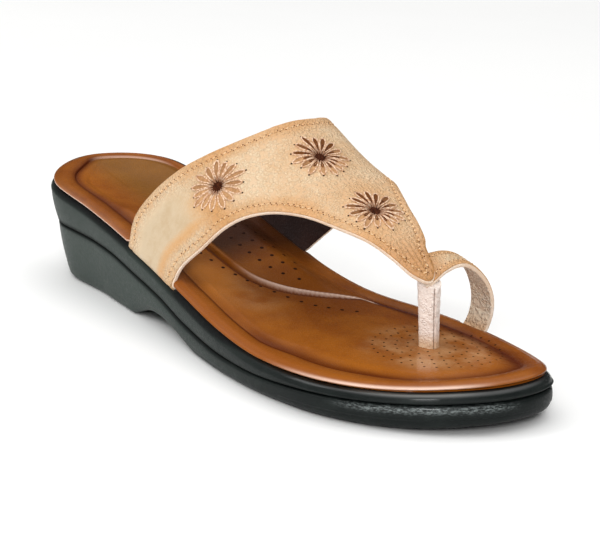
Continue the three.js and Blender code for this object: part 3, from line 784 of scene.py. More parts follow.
# Band above the groove: bulged wall and rounded shoulder that runs in under the footbed
bandShape = {
    "stations": 200, "seam": 0.15, "lip": 0.9, "lipOut": 0.1, "bulge": 0.5, "groove": 1.5, "shoulder": 2.6,
    "bulgeTop": 0.4, "gateDrop": 1.3, "middleDrop": 0.3, "easeIn": 0.5,
    "lipRows": 7, "wallRows": 12, "shoulderRows": 10, "underRows": 4, "topRows": 8,
    # painted shade: a black band under the footbed's rim, and black in the groove
    "recessDepth": 0.5, "recessDeeper": {"by": 2.2, "x": (-120, -92, 10, 70)},
    "recessSoft": 1.6, "recessCrisper": {"by": 0.8, "x": (-20, 40)},
    "grooveDark": {"lipAt": (0, 1.4), "x": (60, 20)},
    # a painted highlight along the toe's shoulder
    "chalk": {"by": 0.75, "rimAt": (-0.3, 0.45), "x": (88, 104), "y": (0, -14)},
    # painted light towards the heel
    "dust": {"by": 0.8, "x": (80, -50)}, "shine": {"rimAt": (-0.7, 0.7), "x": (35, 75)},
}


def makeBand(shape):
    loop = soleLoop(shape["stations"])
    x = loop["base"][:, 0]
    gateDrop = shape["gateDrop"] * gateAt(x, loop["side"])
    low, edge, proud = soleAt["groove"](x) + shape["seam"], soleAt["edge"](x), soleAt["proud"](x)
    shoulder = shape["shoulder"]
    wall = lambda z, inset: ringRow(loop, leanIn(x, z) + inset, z)
    rows = []
    for turn in quarter(shape["lipRows"]):
        inset = shape["groove"] * (1 - np.sin(turn)) - shape["lipOut"]
        rows.append(wall(low + shape["lip"] * (1 - np.cos(turn)), inset))
    for share in np.linspace(0, 1, shape["wallRows"])[1:]:
        z = mix(low + shape["lip"], edge - shoulder - gateDrop, share)
        swell = np.sin(np.pi * np.clip((z - low) / (edge - shoulder * shape["bulgeTop"] - low), 0, 1))
        rows.append(wall(z, -shape["bulge"] * swell))
    fromTop = (leanIn(x, edge - shoulder) + proud) * shape["easeIn"]
    for turn in quarter(shape["shoulderRows"])[1:]:
        inset = shoulder * (1 - np.cos(turn)) - proud + fromTop * np.cos(turn)
        rows.append(ringRow(loop, inset, edge - gateDrop - shoulder * (1 - np.sin(turn))))

    def lower(cx, cy, share):
        return soleAt["edge"](cx) - gateDrop * (1 - share) - bedDrop(cx, cy) - shape["middleDrop"] * share

    under = lambda cx, cy, share: soleAt["groove"](cx) + shape["seam"]
    foot = capRows(loop, rows[0], shape["underRows"], under, True)
    head = capRows(loop, rows[-1], shape["topRows"], lower)
    piece, _ = laidGrid("soleBand", placed(np.array(foot + rows + head)))
    closeSeams(piece)
    x, y, z = whereIs(piece)
    rim = z - soleAt["edge"](x)
    at = sharesOf(shape, x=x, y=y, rim=rim, lip=z - soleAt["groove"](x))
    # painted shade under the rim and in the groove, a painted highlight on the toe's shoulder, painted light
    # towards the heel
    deep, soft = shape["recessDepth"] + at("recessDeeper"), shape["recessSoft"] - at("recessCrisper")
    recess = np.maximum(smoothStep((rim + deep) / soft, -1, 1), at("grooveDark"))
    mark(piece, recess=recess, chalk=at("chalk"), dusty=at("dust"), shine=at("shine"))
    smoothed(piece, sharpAngle)
    return settle(piece, materials["band"], "midsole", "midsole")


soleBand = makeBand(bandShape)
print("sole band made:", len(soleBand.data.polygons), "faces")

# Padded footbed: rolled rim, border groove that turns into the ridge of the arch pad, heel cup
footbed = {
    "stations": 300, "bedRows": 84, "rimRows": 30, "underRows": 4, "seam": 0.3, "shoulder": 2.6, "height": 3,
    "rimInset": [1.5, 0.5, 0.3, 1, 2.3, 4.1, 7, 8.7], "rimRise": [0.66, 1.1, 1.58, 2.11, 2.4, 2.8, 2.4, 1.7],
    "gateInset": 2.5, "toeWider": {"by": 3.0, "x": (40, 62, 90, 114), "y": (25, -5)},
    "heelNarrower": {"by": 3.4, "x": (-60, -80), "y": (-16, 4)},
    "grooveWidth": 5, "grooveWider": {"by": 4, "x": (35, 65)},
    "padFade": (6, 12), "padStep": 1.2, "padRise": 3.4, "padReach": 32, "ridgeWidth": 1.3, "ridgeLip": 0.35,
    "lipBell": (1.2, 0.9), "dipBell": (-0.9, 0.8), "widerRows": (4, 7), "filledRows": (4, 6),
    "padX": [-123, -78, -60, -38, -18, -6, 4, 13, 20, 26, 31, 60, 124],
    "ridge": [0, -2, -5, -8, -8.8, -8.2, -6.4, -1.2, 6.2, 14.6, 22, 6, 6],
    "padHeight": [0, 0, 0.6, 1, 1, 1, 1, 0.95, 0.8, 0.5, 0, 0, 0],
    "crestX": [-62, -38, -18, -6, 4, 13, 20, 26, 31, 39, 49],
    "crestY": [-5, -8, -8.8, -8.2, -6.4, -1.2, 6.2, 14.6, 22.3, 28, 30.6], "crestSteps": 400,
    # painted shade in the creases and the dark valley beside them, by rows in from the crease, so many
    # millimetres apart
    "rowPitch": (0.5, 0.32),
    "crease": {"inwardAt": (-0.6, 1.7)}, "creaseLost": {"by": 0.8, "x": (-60, -85), "y": (-4, 8)},
    "valley": 0.76, "valleyWidth": 2.9, "valleyThin": {"by": 0.45, "x": (-40, -20, 25, 48)},
    "valleyDeeper": {"by": 0.1, "x": (80, 100)}, "valleyWider": {"by": 0.4, "x": (80, 100)},
    "valleyLost": {"by": 0.75, "x": (-60, -85), "y": (-4, 8)},
    "valleyShift": {"by": 0.6, "x": (-20, 15, 80, 100)},
    # the pad, by the way beyond its ridge: painted shade under the ridge, a painted highlight along its
    # crest, painted light on its lit end and painted shade under the strap
    "ridgeLine": {"by": 0.8, "beyondAt": (-0.7, 0.6), "x": (-62, -45, 44, 49)},
    "crest": {"beyondAt": (0.7, 0.55), "x": (-12, 16, 33, 40)},
    "glow": {"beyond": (0, 3), "x": (-6, 16, 40, 52)},
    "padShade": {"by": 0.9, "beyond": (0, 3), "x": (-60, -45, -24, 0)},
    # rim and edges, by rows up the rim: pale edges carrying painted highlights, a painted highlight on the
    # far heel, painted shade on the heel rim and under the strap on the inner rim, a dark line along the
    # heel's back edge
    "rim": {"row": (-1, 0, 15, 30)}, "rimPlain": 0.15, "outerWaist": {"x": (-60, -30, 60, 100)},
    "rimGloss": {"row": (-1, 0, 9, 22.5)}, "rimGlossBy": (0.75, 0.4),
    "toeEdge": {"by": 0.8, "rowAt": (9, 3.6), "x": (55, 98), "y": (4, -14)},
    "heelEdge": {"by": 0.85, "rowAt": (6, 2.6), "x": (-15, -45)},
    "heelRim": {"by": 0.25, "x": (-50, -95), "row": (6, 16, 15, 30)},
    "innerRim": {"by": 0.85, "x": (-60, -45, -22, 6), "row": (31, 30)},
    "backEdge": {"by": 0.8, "x": (-60, -80), "y": (-14, 0), "row": (20, 13)},
    "lit": {"by": 0.4, "inwardAt": (-0.4, 1.8), "x": (-92, -108), "y": (-4, 8)},
    # patches on the bed: the coat's polish, painted sheen, painted shade and painted light near the strap, an
    # olive tint
    "polishAll": 0.14, "polish": {"by": 0.5, "fromPolish": (26, 12)}, "polishCentre": (86, 2),
    "covered": {"x": (-60, -40, 0, 30)},
    "underStrap": {"by": 0.16, "x": (-110, -60, -28, -6), "row": (12, 13)},
    "sheen": {"by": 0.9, "fromSheen": (30, 14)}, "sheenCentre": (82, 10),
    # a second patch of painted sheen, lightening the bed in the strap's shadow
    "dull": {"by": 0.5, "xAt": (10, 18), "yAt": (-16, 9)},
    "bright": {"by": 0.7, "xAt": (-7, 15), "yAt": (-21, 9)},
    "olive": {"by": 0.6, "x": (-50, -66), "y": (-14, 6)},
}
ridgeAt = curveThrough(footbed["padX"], footbed["ridge"])
padHeightAt = curveThrough(footbed["padX"], footbed["padHeight"])
crestAt = curveThrough(footbed["crestX"], footbed["crestY"])


def padAt(x, y):
    beyond = y - ridgeAt(x)
    step = footbed["padStep"] * smoothStep(beyond, -footbed["ridgeWidth"] / 2, footbed["ridgeWidth"] / 2)
    lip = footbed["ridgeLip"] * (bell(beyond, *footbed["lipBell"]) - bell(beyond, *footbed["dipBell"]))
    return padHeightAt(x) * (step + footbed["padRise"] * smoothStep(beyond, 0, footbed["padReach"]) + lip)


# How far each place lies beyond the line of the arch pad's ridge, towards the inner side
def beyondCrest(x, y):
    along = np.linspace(footbed["crestX"][0], footbed["crestX"][-1], footbed["crestSteps"])
    flat = lambda a, b: np.stack([a, b, 0 * a], -1)
    return nearTo(flat(x, y), flat(along, crestAt(along))) * np.sign(y - crestAt(x))


# Rows count up the rim, then in over the bed
def markFootbed(piece, look, row, outer, bare):
    x, y, _ = whereIs(piece)
    inward, onBed = row - look["rimRows"], row > look["rimRows"]
    awayFrom = lambda centre: np.hypot(x - centre[0], y - centre[1])
    at = sharesOf(
        look, x=x, y=y, row=row, inward=inward, beyond=beyondCrest(x, y),
        fromPolish=awayFrom(look["polishCentre"]), fromSheen=awayFrom(look["sheenCentre"]),
    )
    # painted dark red shade along the crease, and in the valley where the rim's inner slope lies in shade
    sideWays = np.where(inward < 0, *look["rowPitch"]) * inward
    valley = bell(sideWays, at("valleyShift"), look["valleyWidth"] + at("valleyWider"))
    valley *= (look["valley"] + at("valleyDeeper") - at("valleyThin")) * (1 - at("valleyLost"))
    crease = np.maximum(at("crease") * (1 - at("creaseLost")), valley)
    outerWaist = outer * at("outerWaist")
    rimGloss = at("rimGloss") * mix(*look["rimGlossBy"], outerWaist)
    polish = (look["polishAll"] + at("polish")) * (1 - at("covered"))
    # the toe's and heel's rim edges: pale, with painted highlights on them
    paleEdgeAndHighlight = outer * (at("toeEdge") + at("heelEdge"))
    # painted shade under the strap on the pad and the inner rim, and over the heel's rim
    shaded = at("heelRim") + onBed * at("padShade") + (1 - outer) * at("innerRim")
    mark(
        piece,
        # the rim's colour, and the same orange painted as light over the pad's lit end
        rim=np.maximum(at("rim") * mix(look["rimPlain"], 1, outerWaist), onBed * at("glow")),
        gloss=np.maximum(rimGloss, polish),
        crease=np.clip(crease * bare + onBed * at("ridgeLine"), 0, 1),
        crest=np.clip(onBed * at("crest") + paleEdgeAndHighlight + at("lit"), 0, 1),
        sheen=onBed * np.maximum(at("sheen"), at("dull")),
        olive=onBed * at("olive"),
        # painted light on the bed beside the strap's base
        bright=onBed * at("bright"),
        # more painted shade on the bed under the strap, and a dark line along the heel's back edge
        shaded=np.clip(np.maximum(at("underStrap"), shaded) + at("backEdge"), 0, 1),
    )


def makeFootbed(shape):
    loop = soleLoop(shape["stations"])
    x, y = loop["base"].T
    edge, proud = soleAt["edge"](x), soleAt["proud"](x)
    gate = shape["gateInset"] * gateAt(x, loop["side"])
    numbers = np.arange(len(shape["rimInset"]))
    insetAt, riseAt = curveThrough(numbers, shape["rimInset"]), curveThrough(numbers, shape["rimRise"])
    at = sharesOf(shape, x=x, y=y)
    wider = at("toeWider") - at("heelNarrower")
    filled = padHeightAt(x) * (loop["side"] > 0)  # along the pad there is no border groove
    rows = [ringRow(loop, np.maximum(shape["shoulder"] - proud, gate), edge + shape["seam"])]
    for number in np.linspace(0, numbers[-1], shape["rimRows"]):
        inset = insetAt(number) + wider * smoothStep(number, *shape["widerRows"])
        full = np.maximum(riseAt(number), shape["height"])
        rise = mix(riseAt(number), full, filled * smoothStep(number, *shape["filledRows"]))
        rows.append(ringRow(loop, np.maximum(inset, gate), edge + rise))
    groove = rows[-1]
    low = mix(shape["rimRise"][-1], shape["height"], filled)
    wide = shape["grooveWidth"] + at("grooveWider")
    fade = mix(*shape["padFade"], filled)

    def bed(cx, cy, share):
        away = np.hypot(cx - groove[:, 0], cy - groove[:, 1])
        crown = mix(low, shape["height"], smoothStep(away, 0, wide))
        return soleAt["edge"](cx) + crown + (padAt(cx, cy) - bedDrop(cx, cy)) * smoothStep(away, 0, fade)

    under = lambda cx, cy, share: soleAt["edge"](cx) + shape["seam"] - bedDrop(cx, cy)
    foot = capRows(loop, rows[0], shape["underRows"], under, True)
    head = capRows(loop, groove, shape["bedRows"], bed)
    piece, (row, column) = laidGrid("footbed", placed(np.array(foot + rows + head)))
    around = column % len(x)
    markFootbed(piece, shape, row - len(foot) - 1, loop["side"][around] < 0, 1 - filled[around])
    closeSeams(piece)
    smoothed(piece, sheetAngle)
    return settle(piece, materials["footbed"], "insole", "insole")


footbedPiece = makeFootbed(footbed)
footbedSurface = surfaceOf(footbedPiece)
print("footbed made:", len(footbedPiece.data.polygons), "faces")

# The strap lies on the instep, whose sections are superellipses that lean to the inner side
instep = {"sidePower": 2.72, "crownPower": 1.71, "lean": 14, "seatInset": 0.2, "seatRise": 1.2}


def instepPlace(x, share):
    outer, inner = sidesAt(x)
    turn = np.pi * np.clip(share, 0, 1)
    flat = -np.sign(np.cos(turn)) * np.abs(np.cos(turn)) ** (2 / instep["sidePower"])
    rise = np.abs(np.sin(turn)) ** (2 / instep["crownPower"])
    half = (inner - outer) / 2 - instep["seatInset"]
    y = (inner + outer) / 2 + instep["lean"] * rise + half * flat
    return np.stack([x + 0 * y, y, soleAt["edge"](x) + instep["seatRise"] + crownAt(x) * rise], -1)


# Ribs of the T-strap, rear edge to front edge; shares count round the instep from the sole's outer edge
strap = {
    "rearShare": [0, 0.06, 0.12, 0.18, 0.24, 0.3, 0.35, 0.39, 0.42, 0.44, 0.455, 0.47,
                  0.485, 0.505, 0.53, 0.56, 0.6, 0.65, 0.7, 0.76, 0.82, 0.88, 0.94, 1],
    "rearX": [-40.4, -40.3, -33, -23, -12.5, -3.6, 2, 5, 6.3, 7, 7.3, 7.5,
              7.6, 7.7, 7.6, 7, 4.2, -2.8, -11.4, -20.6, -29.2, -36.8, -41, -42],
    "frontShare": [0, 0.05, 0.113, 0.175, 0.23, 0.287, 0.332, 0.366, 0.397, 0.417, 0.432, 0.459,
                   0.486, 0.498, 0.514, 0.535, 0.572, 0.63, 0.695, 0.76, 0.825, 0.89, 0.95, 1],
    "frontX": [-8.4, -5.6, 3.3, 11.2, 19.5, 30, 41.2, 53, 63.5, 73, 80.5, 84,
               80.5, 73, 63.5, 54, 44.5, 36.5, 28.6, 20.5, 11.6, 2.4, -6.5, -13],
    "rows": 276, "columns": 84, "tuckRows": 7, "tuckRadius": 2.8, "tuckLean": 0.2, "tuckRun": 3.4,
    "hide": 0.75, "hideEase": (0.4, 3), "lining": 1.25, "liningEase": (0.25, 2), "lipOut": (-0.3, 0.5),
    # relief and tones, by x, by the strap's rows and columns and by the way in from its edges
    "stitchIn": 2.9, "edgeDip": {"by": 0.3, "edgeAt": (0, 0.7)},
    "stitchDip": {"by": 0.28, "edgeAt": (2.9, 0.8)},
    "folds": {"by": 0.22, "x": (63, 76), "edge": (0.6, 2.5)},
    # warm is painted shade, in the burnt tone, over the strap's forward part
    "burnEdge": {"edge": (9, 1.5)}, "burnTip": {"by": 0.9, "x": (58, 80)}, "warm": {"by": 0.6, "x": (30, 50)},
    "outerRoot": {"row": (0.17, 0.08)}, "innerRoot": {"row": (0.8, 0.93)},
    "rootIn": {"edge": (3, 11)}, "rootPale": 0.65,
    "crossStreak": {"rowAt": (0.14, 0.03), "column": (0.3, 0.6)},
    "rootStreak": {"by": 0.8, "columnAt": (0.76, 0.08), "row": (0.16, 0.1)},
    "tip": {"by": 0.82, "x": (62, 78)},
    "foldWaves": (3.1, 0.9, 0.11, 0.04), "burnWaves": (0.8, 0.2, 0.13, 0.21), "facesIn": -0.6,
    "sewn": (0.004, 0.996), "sewnStep": 4, "sewnClear": 0.93,
}
ribNumbers = np.arange(len(strap["rearX"]))
strapRib = curvesOf(strap, ("rearShare", "rearX", "frontShare", "frontX"))


def strapFace(row, column):
    number = np.clip(row, 0, 1) * ribNumbers[-1]
    rib = {key: strapRib[key](number) for key in strapRib}
    x = mix(rib["rearX"], rib["frontX"], column)
    points = instepPlace(x, mix(rib["rearShare"], rib["frontShare"], column))
    for side, length in ((-1, np.maximum(0, -row)), (1, np.maximum(0, row - 1))):
        start, radius = side * strap["tuckLean"], strap["tuckRadius"]
        bend = np.minimum(length / radius + start, np.pi / 2)
        run = np.maximum(0, length - radius * (np.pi / 2 - start))
        points[..., 1] -= side * (radius * (np.cos(start) - np.cos(bend)) + run)
        points[..., 2] -= radius * (np.sin(bend) - np.sin(start))
    return points


def strapGrid(rearOut, frontOut):
    radius, tilt = strap["tuckRadius"], strap["tuckLean"]
    tuck = [radius * (np.pi / 2 - side * tilt) + strap["tuckRun"] for side in (-1, 1)]
    rows = np.concatenate([
        -np.linspace(tuck[0], 0, strap["tuckRows"] + 1)[:-1],
        np.linspace(0, 1, strap["rows"] + 1),
        1 + np.linspace(0, tuck[1], strap["tuckRows"] + 1)[1:],
    ])
    row, column = np.meshgrid(rows, np.linspace(0, 1, strap["columns"] + 1), indexing="ij")
    across = strapFace(row, np.ones_like(row)) - strapFace(row, np.zeros_like(row))
    length = np.linalg.norm(across, axis=-1)
    column = mix(-rearOut / length, 1 + frontOut / length, column)
    return strapFace(row, column), row, column


def facing(points):
    return unit(np.cross(np.gradient(points, axis=1), np.gradient(points, axis=0)))


# Embroidered rosettes: where they sit on the strap, by share and x, and how they are sewn
rosette = {
    "spots": [(0.222, 0.6), (0.473, 25), (0.47, 54.6), (0.768, 3.5)],
    "drawn": {0: ((1.07, 0.11), (0.18, 1.05))},  # pulled out of round
    # depth scales each rosette's painted petal shade
    "depth": [0.5, 1, 1, 1], "shortSewn": [1, 2, 3],
    "petals": 15, "hole": 2.6, "inner": 2.0, "outer": 10.2, "halfWidth": 1.05, "thread": 0.28, "lift": 0.2,
    "shortOuter": 6.4, "shortHalf": 0.34, "shortThread": 0.22, "shade": {"by": 0.8, "away": (5.0, 2.0)},
    "endHole": 0.42, "endGap": 0.35, "patchFrom": 3.4, "patchHalf": 0.72, "patchLift": 0.1,
    "nudge": (0.05, 0.0005), "above": 6, "endFlat": (1, 1, 0.3),
    "eyeRagged": ((0.14, 5), (0.1, 3)), "eyeFlat": 0.18, "hideShade": (0.6, 0.7, 0.25),
    "turnStray": (0.05, 5.1), "lengthStray": (0.07, 2.4), "shadeStray": (0.3, 3.7),
    "cushion": {"by": 0.5, "away": (1.5, 6, 8, 12.5)}, "sink": {"by": 0.7, "away": (4, 0.8)},
    "burn": {"by": 0.4, "away": (14, 8)}, "pit": {"by": 0.95, "away": (6.2, 1.8)},
}


def rosetteFrames():
    frames = []
    stepX, stepShare = rosette["nudge"]
    for number, (share, x) in enumerate(rosette["spots"]):
        centre = instepPlace(np.array(x), np.array(share))
        along = instepPlace(np.array(x + stepX), np.array(share)) - centre
        across = instepPlace(np.array(x), np.array(share + stepShare)) - centre
        normal, along = unit(np.cross(along, across)), unit(along)
        side = np.cross(normal, along)
        wide, tall = rosette["drawn"].get(number, ((1, 0), (0, 1)))
        frames.append((centre, along * wide[0] + side * wide[1], along * tall[0] + side * tall[1], normal))
    return frames


rosettes = rosetteFrames()


# Lays a sheet of hide, marks it, turns it out, gives it thickness and eases its corners
def makeSheet(name, points, normal, thickness, ease, material, **marks):
    piece, at = laidGrid(name, placed(points))
    mark(piece, **{key: values[at] for key, values in marks.items()})
    if np.sum(pointsOf(piece, "normal") * normal[at]) < 0:
        onWholeMesh(piece, (bpy.ops.mesh.flip_normals, {}))
    addModifier(piece, "SOLIDIFY", thickness=thickness * mm, offset=-1, use_even_offset=True)
    width, segments = ease
    corner = {"limit_method": "ANGLE", "angle_limit": math.radians(sharpAngle)}
    addModifier(piece, "BEVEL", width=width * mm, segments=segments, **corner)
    smoothed(piece, sheetAngle)
    return settle(piece, material, "upper", "upper")


def makeStrap(shape):
    points, row, column = strapGrid(0, 0)
    normal = facing(points)
    x, y = points[..., 0], points[..., 1]
    onInstep = (row[:, 0] >= 0) & (row[:, 0] <= 1)
    edge = nearTo(points, np.concatenate([points[onInstep, 0], points[onInstep, -1]]))
    at = sharesOf(shape, x=x, row=row, column=column, edge=edge)
    lift = -at("edgeDip") - at("stitchDip")
    burn, pit = at("burnEdge"), np.zeros_like(edge)
    for centre, *_ in rosettes:
        near = sharesOf(rosette, away=np.linalg.norm(points - centre, axis=-1))
        lift += near("cushion") - near("sink")
        burn, pit = np.maximum(burn, near("burn")), np.maximum(pit, near("pit"))
    pitch, sway, swayPitch, slope = shape["foldWaves"]
    lift += at("folds") * np.sin(y * pitch + sway * np.sin(x * swayPitch) + slope * x)
    # burnt edges and tip, and painted shade in the burnt tone over the strap's forward part
    burn = np.maximum(burn, np.maximum(at("burnTip"), at("warm")))
    steady, uneven, pitchX, pitchY = shape["burnWaves"]
    burn = np.clip(burn * (steady + uneven * np.sin(x * pitchX + y * pitchY)), 0, 1)
    roots = np.maximum(at("outerRoot"), at("innerRoot"))
    streaks = np.maximum(at("crossStreak"), at("rootStreak"))  # burnt, beside the smooth root
    burn = np.maximum(burn * (1 - shape["rootPale"] * roots), streaks)
    outside = points + normal * lift[..., None]
    return makeSheet(
        "strapHide", outside, normal, shape["hide"], shape["hideEase"], materials["strap"],
        burnish=burn, petalPit=pit, plain=roots * at("rootIn"), tip=at("tip"),
    )


# Lining under the hide, a little wider, so that a pale lip shows along the edges
def makeLining(shape):
    points, _, _ = strapGrid(*shape["lipOut"])
    normal = facing(points)
    under = points - normal * shape["hide"]
    piece = makeSheet("strapLining", under, normal, shape["lining"], shape["liningEase"], materials["edge"])
    piece.data.materials.append(materials["inside"])
    tree, outward = treeOf(placed(points)), normal.reshape(-1, 3)
    for face in piece.data.polygons:
        nearest = tree.find(face.center)[1]
        face.material_index = int(np.dot(face.normal, outward[nearest]) < shape["facesIn"])  # dark inside
    return piece


strapPiece = makeStrap(strap)
strapSurface = surfaceOf(strapPiece)
liningPiece = makeLining(strap)
print("strap made:", len(strapPiece.data.polygons), "and", len(liningPiece.data.polygons), "faces")

# Ring for the big toe: ribs from under the strap's tip over the toe and down to the tucked end
toeRing = {
    "frontX": [82.6, 82.2, 81.3, 80.4, 79.6, 78.7, 77.6, 76.4, 75.4, 74.6, 74.2, 74, 74],
    "frontY": [5, 10, 15, 20.3, 25.8, 31.6, 37.8, 42, 43.4, 42.6, 40.4, 36.5, 31],
    "frontZ": [40.6, 41.6, 42.9, 43.8, 43.2, 40.2, 34.8, 28.5, 22.5, 17, 14, 13.1, 13.1],
    "rearX": [73, 72.6, 72, 71.3, 70.5, 69.3, 67.5, 66, 65, 64.3, 64, 64, 64],
    "rearY": [5, 10, 15.5, 21.3, 27.2, 33.2, 38.7, 42.3, 43.6, 42.5, 40.1, 36.2, 31],
    "rearZ": [46.3, 46.6, 46.8, 46.4, 44.6, 40.9, 35, 28.5, 22.5, 17, 14.1, 13.4, 13.4],
    "rows": 120, "columns": 24, "half": 1, "end": 0.93, "tipDrop": {"by": 1.1, "rib": (1.8, 0.4)},
    "inside": (73, 24, 28), "insideRows": 70,  # the toe's place, to tell in from out
    "hide": 0.6, "hideEase": (0.25, 3), "lining": 1.4, "liningEase": (0.3, 2),
    "liningOut": 0.25, "liningUp": 0.4,
    "stitchIn": 2.0, "edgeDip": {"by": 0.25, "edgeAt": (0, 0.6)},
    "stitchDip": {"by": 0.2, "edgeAt": (2.0, 0.7)},
    "burn": 0.85, "burnEdge": {"edge": (3.5, 1.0)}, "burnTip": {"by": 0.9, "y": (22, 8)},
    "burnFoot": {"by": 0.8, "z": (26, 16)}, "tip": {"by": 0.7, "y": (20, 9)}, "lip": 0.9,
    "wrinkle": {"by": 0.12, "along": (0.2, 0.5), "aside": (0.9, 0.5)}, "tanFoot": {"by": 0.7, "z": (21, 15)},
    "wrinkleWaves": (1.9, 0.6, 0.9), "onToe": 0.8, "sewn": (0.1, 0.72), "sewnStep": 2, "sewnClear": 0.9,
}
loopNumbers = np.arange(len(toeRing["frontX"]))
frontKeys, rearKeys = ("frontX", "frontY", "frontZ"), ("rearX", "rearY", "rearZ")
loopRib = curvesOf(toeRing, frontKeys + rearKeys)


def ringGrid(spread):
    share = np.linspace(0, toeRing["end"], toeRing["rows"] + 1)
    number = share * loopNumbers[-1]
    front, rear = (np.stack([loopRib[key](number) for key in keys], -1) for keys in (frontKeys, rearKeys))
    width = np.linalg.norm(front - rear, axis=-1)[:, None, None]
    column = np.linspace(0, 1, toeRing["columns"] + 1)[None, :, None]
    points = mix(rear[:, None], front[:, None], mix(-spread / width, 1 + spread / width, column))
    points[..., 2] -= sharesOf(toeRing, rib=number)("tipDrop")[:, None]
    normal, overToe = facing(points), slice(toeRing["insideRows"])
    if np.sum((points[overToe] - np.array(toeRing["inside"])) * normal[overToe]) < 0:
        normal = -normal
    return points, normal, share


def makeRingHide(shape):
    points, normal, share = ringGrid(0.0)
    onToe = share < shape["onToe"]
    edge = nearTo(points, np.concatenate([points[onToe, 0], points[onToe, -1]]))
    at = sharesOf(shape, y=points[..., 1], z=points[..., 2], edge=edge)
    lift = -at("edgeDip") - at("stitchDip")
    burn = shape["burn"] * np.maximum(np.maximum(at("burnEdge"), at("burnTip")), at("burnFoot"))
    outside = points + normal * (shape["half"] + lift)[..., None]
    return makeSheet(
        "toeRingHide", outside, normal, shape["hide"], shape["hideEase"], materials["strap"],
        burnish=burn, tip=at("tip"),
    )


def makeRingLining(shape):
    points, normal, share = ringGrid(shape["liningOut"])
    x, z = points[..., 0], points[..., 2]
    aside = np.abs(np.linspace(-1, 1, shape["columns"] + 1))[None, :]
    at = sharesOf(shape, z=z, along=share[:, None], aside=aside)
    pitch, sway, swayPitch = shape["wrinkleWaves"]
    wrinkle = at("wrinkle") * np.sin(z * pitch + sway * np.sin(x * swayPitch))
    piece = makeSheet(
        "toeRingLining", points + normal * (shape["liningUp"] - wrinkle)[..., None], normal,
        shape["lining"], shape["liningEase"], materials["ring"], tanFoot=at("tanFoot"),
    )
    piece.data.materials.append(materials["edge"])
    middles = np.array([face.center for face in piece.data.polygons]) / mm
    away = nearTo(middles, placed(np.concatenate([points[:, 0], points[:, -1]])) / mm)
    for face, far in zip(piece.data.polygons, away):
        face.material_index = int(far < shape["lip"])
    return piece


ringHidePiece = makeRingHide(toeRing)
ringSurface = surfaceOf(ringHidePiece)
makeRingLining(toeRing)
print("toe ring made:", len(ringHidePiece.data.polygons), "faces")

# Toe post: a folded strip, flat in front, with its seam down the front corner
post = {
    "x": 79.6, "topY": 8.6, "footY": 10.4, "deep": 2.9, "wide": 3.3, "turn": -1.13, "power": 3.2,
    "flare": 1.2, "top": 40.5, "topSlope": -0.5, "foot": 14.3, "sides": 112, "rows": 56,
    "seamTurn": 0.86, "seamDepth": 0.4, "seam": {"awayAt": (0, 0.07)}, "seamDark": 0.7, "wrinkle": 0.05,
    "wrinkleWaves": (40, 2.2, 2), "wrinkleFoot": 0.4,
    "overlap": {"by": 0.18, "away": (0, 0.12, 0.3, 1.2)}, "tanFoot": {"by": 0.7, "z": (23, 17)},
}


def makePost(shape):
    turn = np.linspace(0, 2 * np.pi, shape["sides"] + 1)
    at = sharesOf(shape, away=np.angle(np.exp(1j * (turn - shape["seamTurn"]))))
    seam, overlap = at("seam"), at("overlap")
    squared = lambda wave: np.sign(wave) * np.abs(wave) ** (2 / shape["power"])
    cosTurn, sinTurn = math.cos(shape["turn"]), math.sin(shape["turn"])
    pitch, sway, swayPitch = shape["wrinkleWaves"]
    rows = []
    for rise in np.linspace(0, 1, shape["rows"] + 1):
        flare = mix(1, shape["flare"], rise * rise)
        wrinkle = shape["wrinkle"] * np.sin(rise * pitch + sway * np.sin(turn * swayPitch))
        wrinkle = wrinkle * (shape["wrinkleFoot"] + rise)
        grow = overlap - shape["seamDepth"] * seam + wrinkle
        ahead = (shape["deep"] * flare + grow) * squared(np.cos(turn))
        aside = (shape["wide"] * flare + grow) * squared(np.sin(turn))
        x = shape["x"] + ahead * cosTurn - aside * sinTurn
        y = mix(shape["footY"], shape["topY"], rise) + ahead * sinTurn + aside * cosTurn
        top = shape["top"] + shape["topSlope"] * (x - shape["x"])
        rows.append(np.stack([x, y, mix(shape["foot"] + 0 * x, top, rise)], -1))
    middle = lambda ring: np.broadcast_to(ring[:-1].mean(0), ring.shape)
    points = np.array([middle(rows[0])] + rows + [middle(rows[-1])])
    piece, (row, column) = laidGrid("toePost", placed(points))
    tan = sharesOf(shape, z=points[..., 2])("tanFoot")
    seamHere = (row > 1) & (row <= shape["rows"])
    mark(piece, seam=shape["seamDark"] * seam[column] * seamHere, tanFoot=tan[row, column])
    closeSeams(piece)
    smoothed(piece, sheetAngle)
    return settle(piece, materials["post"], "toe_post", "toe_post")


makePost(post)
print("toe post made")


def turned(hit, up, way, slant=0.0, lift=0.0):
    side = up.cross(way).normalized()
    ahead = side.cross(up) * math.cos(slant) + side * math.sin(slant)
    return frameOf(ahead, up.cross(ahead), up, hit + up * lift)


# Edge stitches: short slanted threads with a needle mark at each end, a flat dark dot of painted shade for
# the needle's hole
stitches = {
    "pitch": 2.3, "length": 1.65, "width": 0.55, "height": 0.5, "slant": 0.42, "lift": 0.12, "dip": 0.24,
    "hole": 0.34, "holeFlat": (1, 0.9, 0.3), "holeOut": 1.05, "holeUp": 0.02, "reach": 4,
}


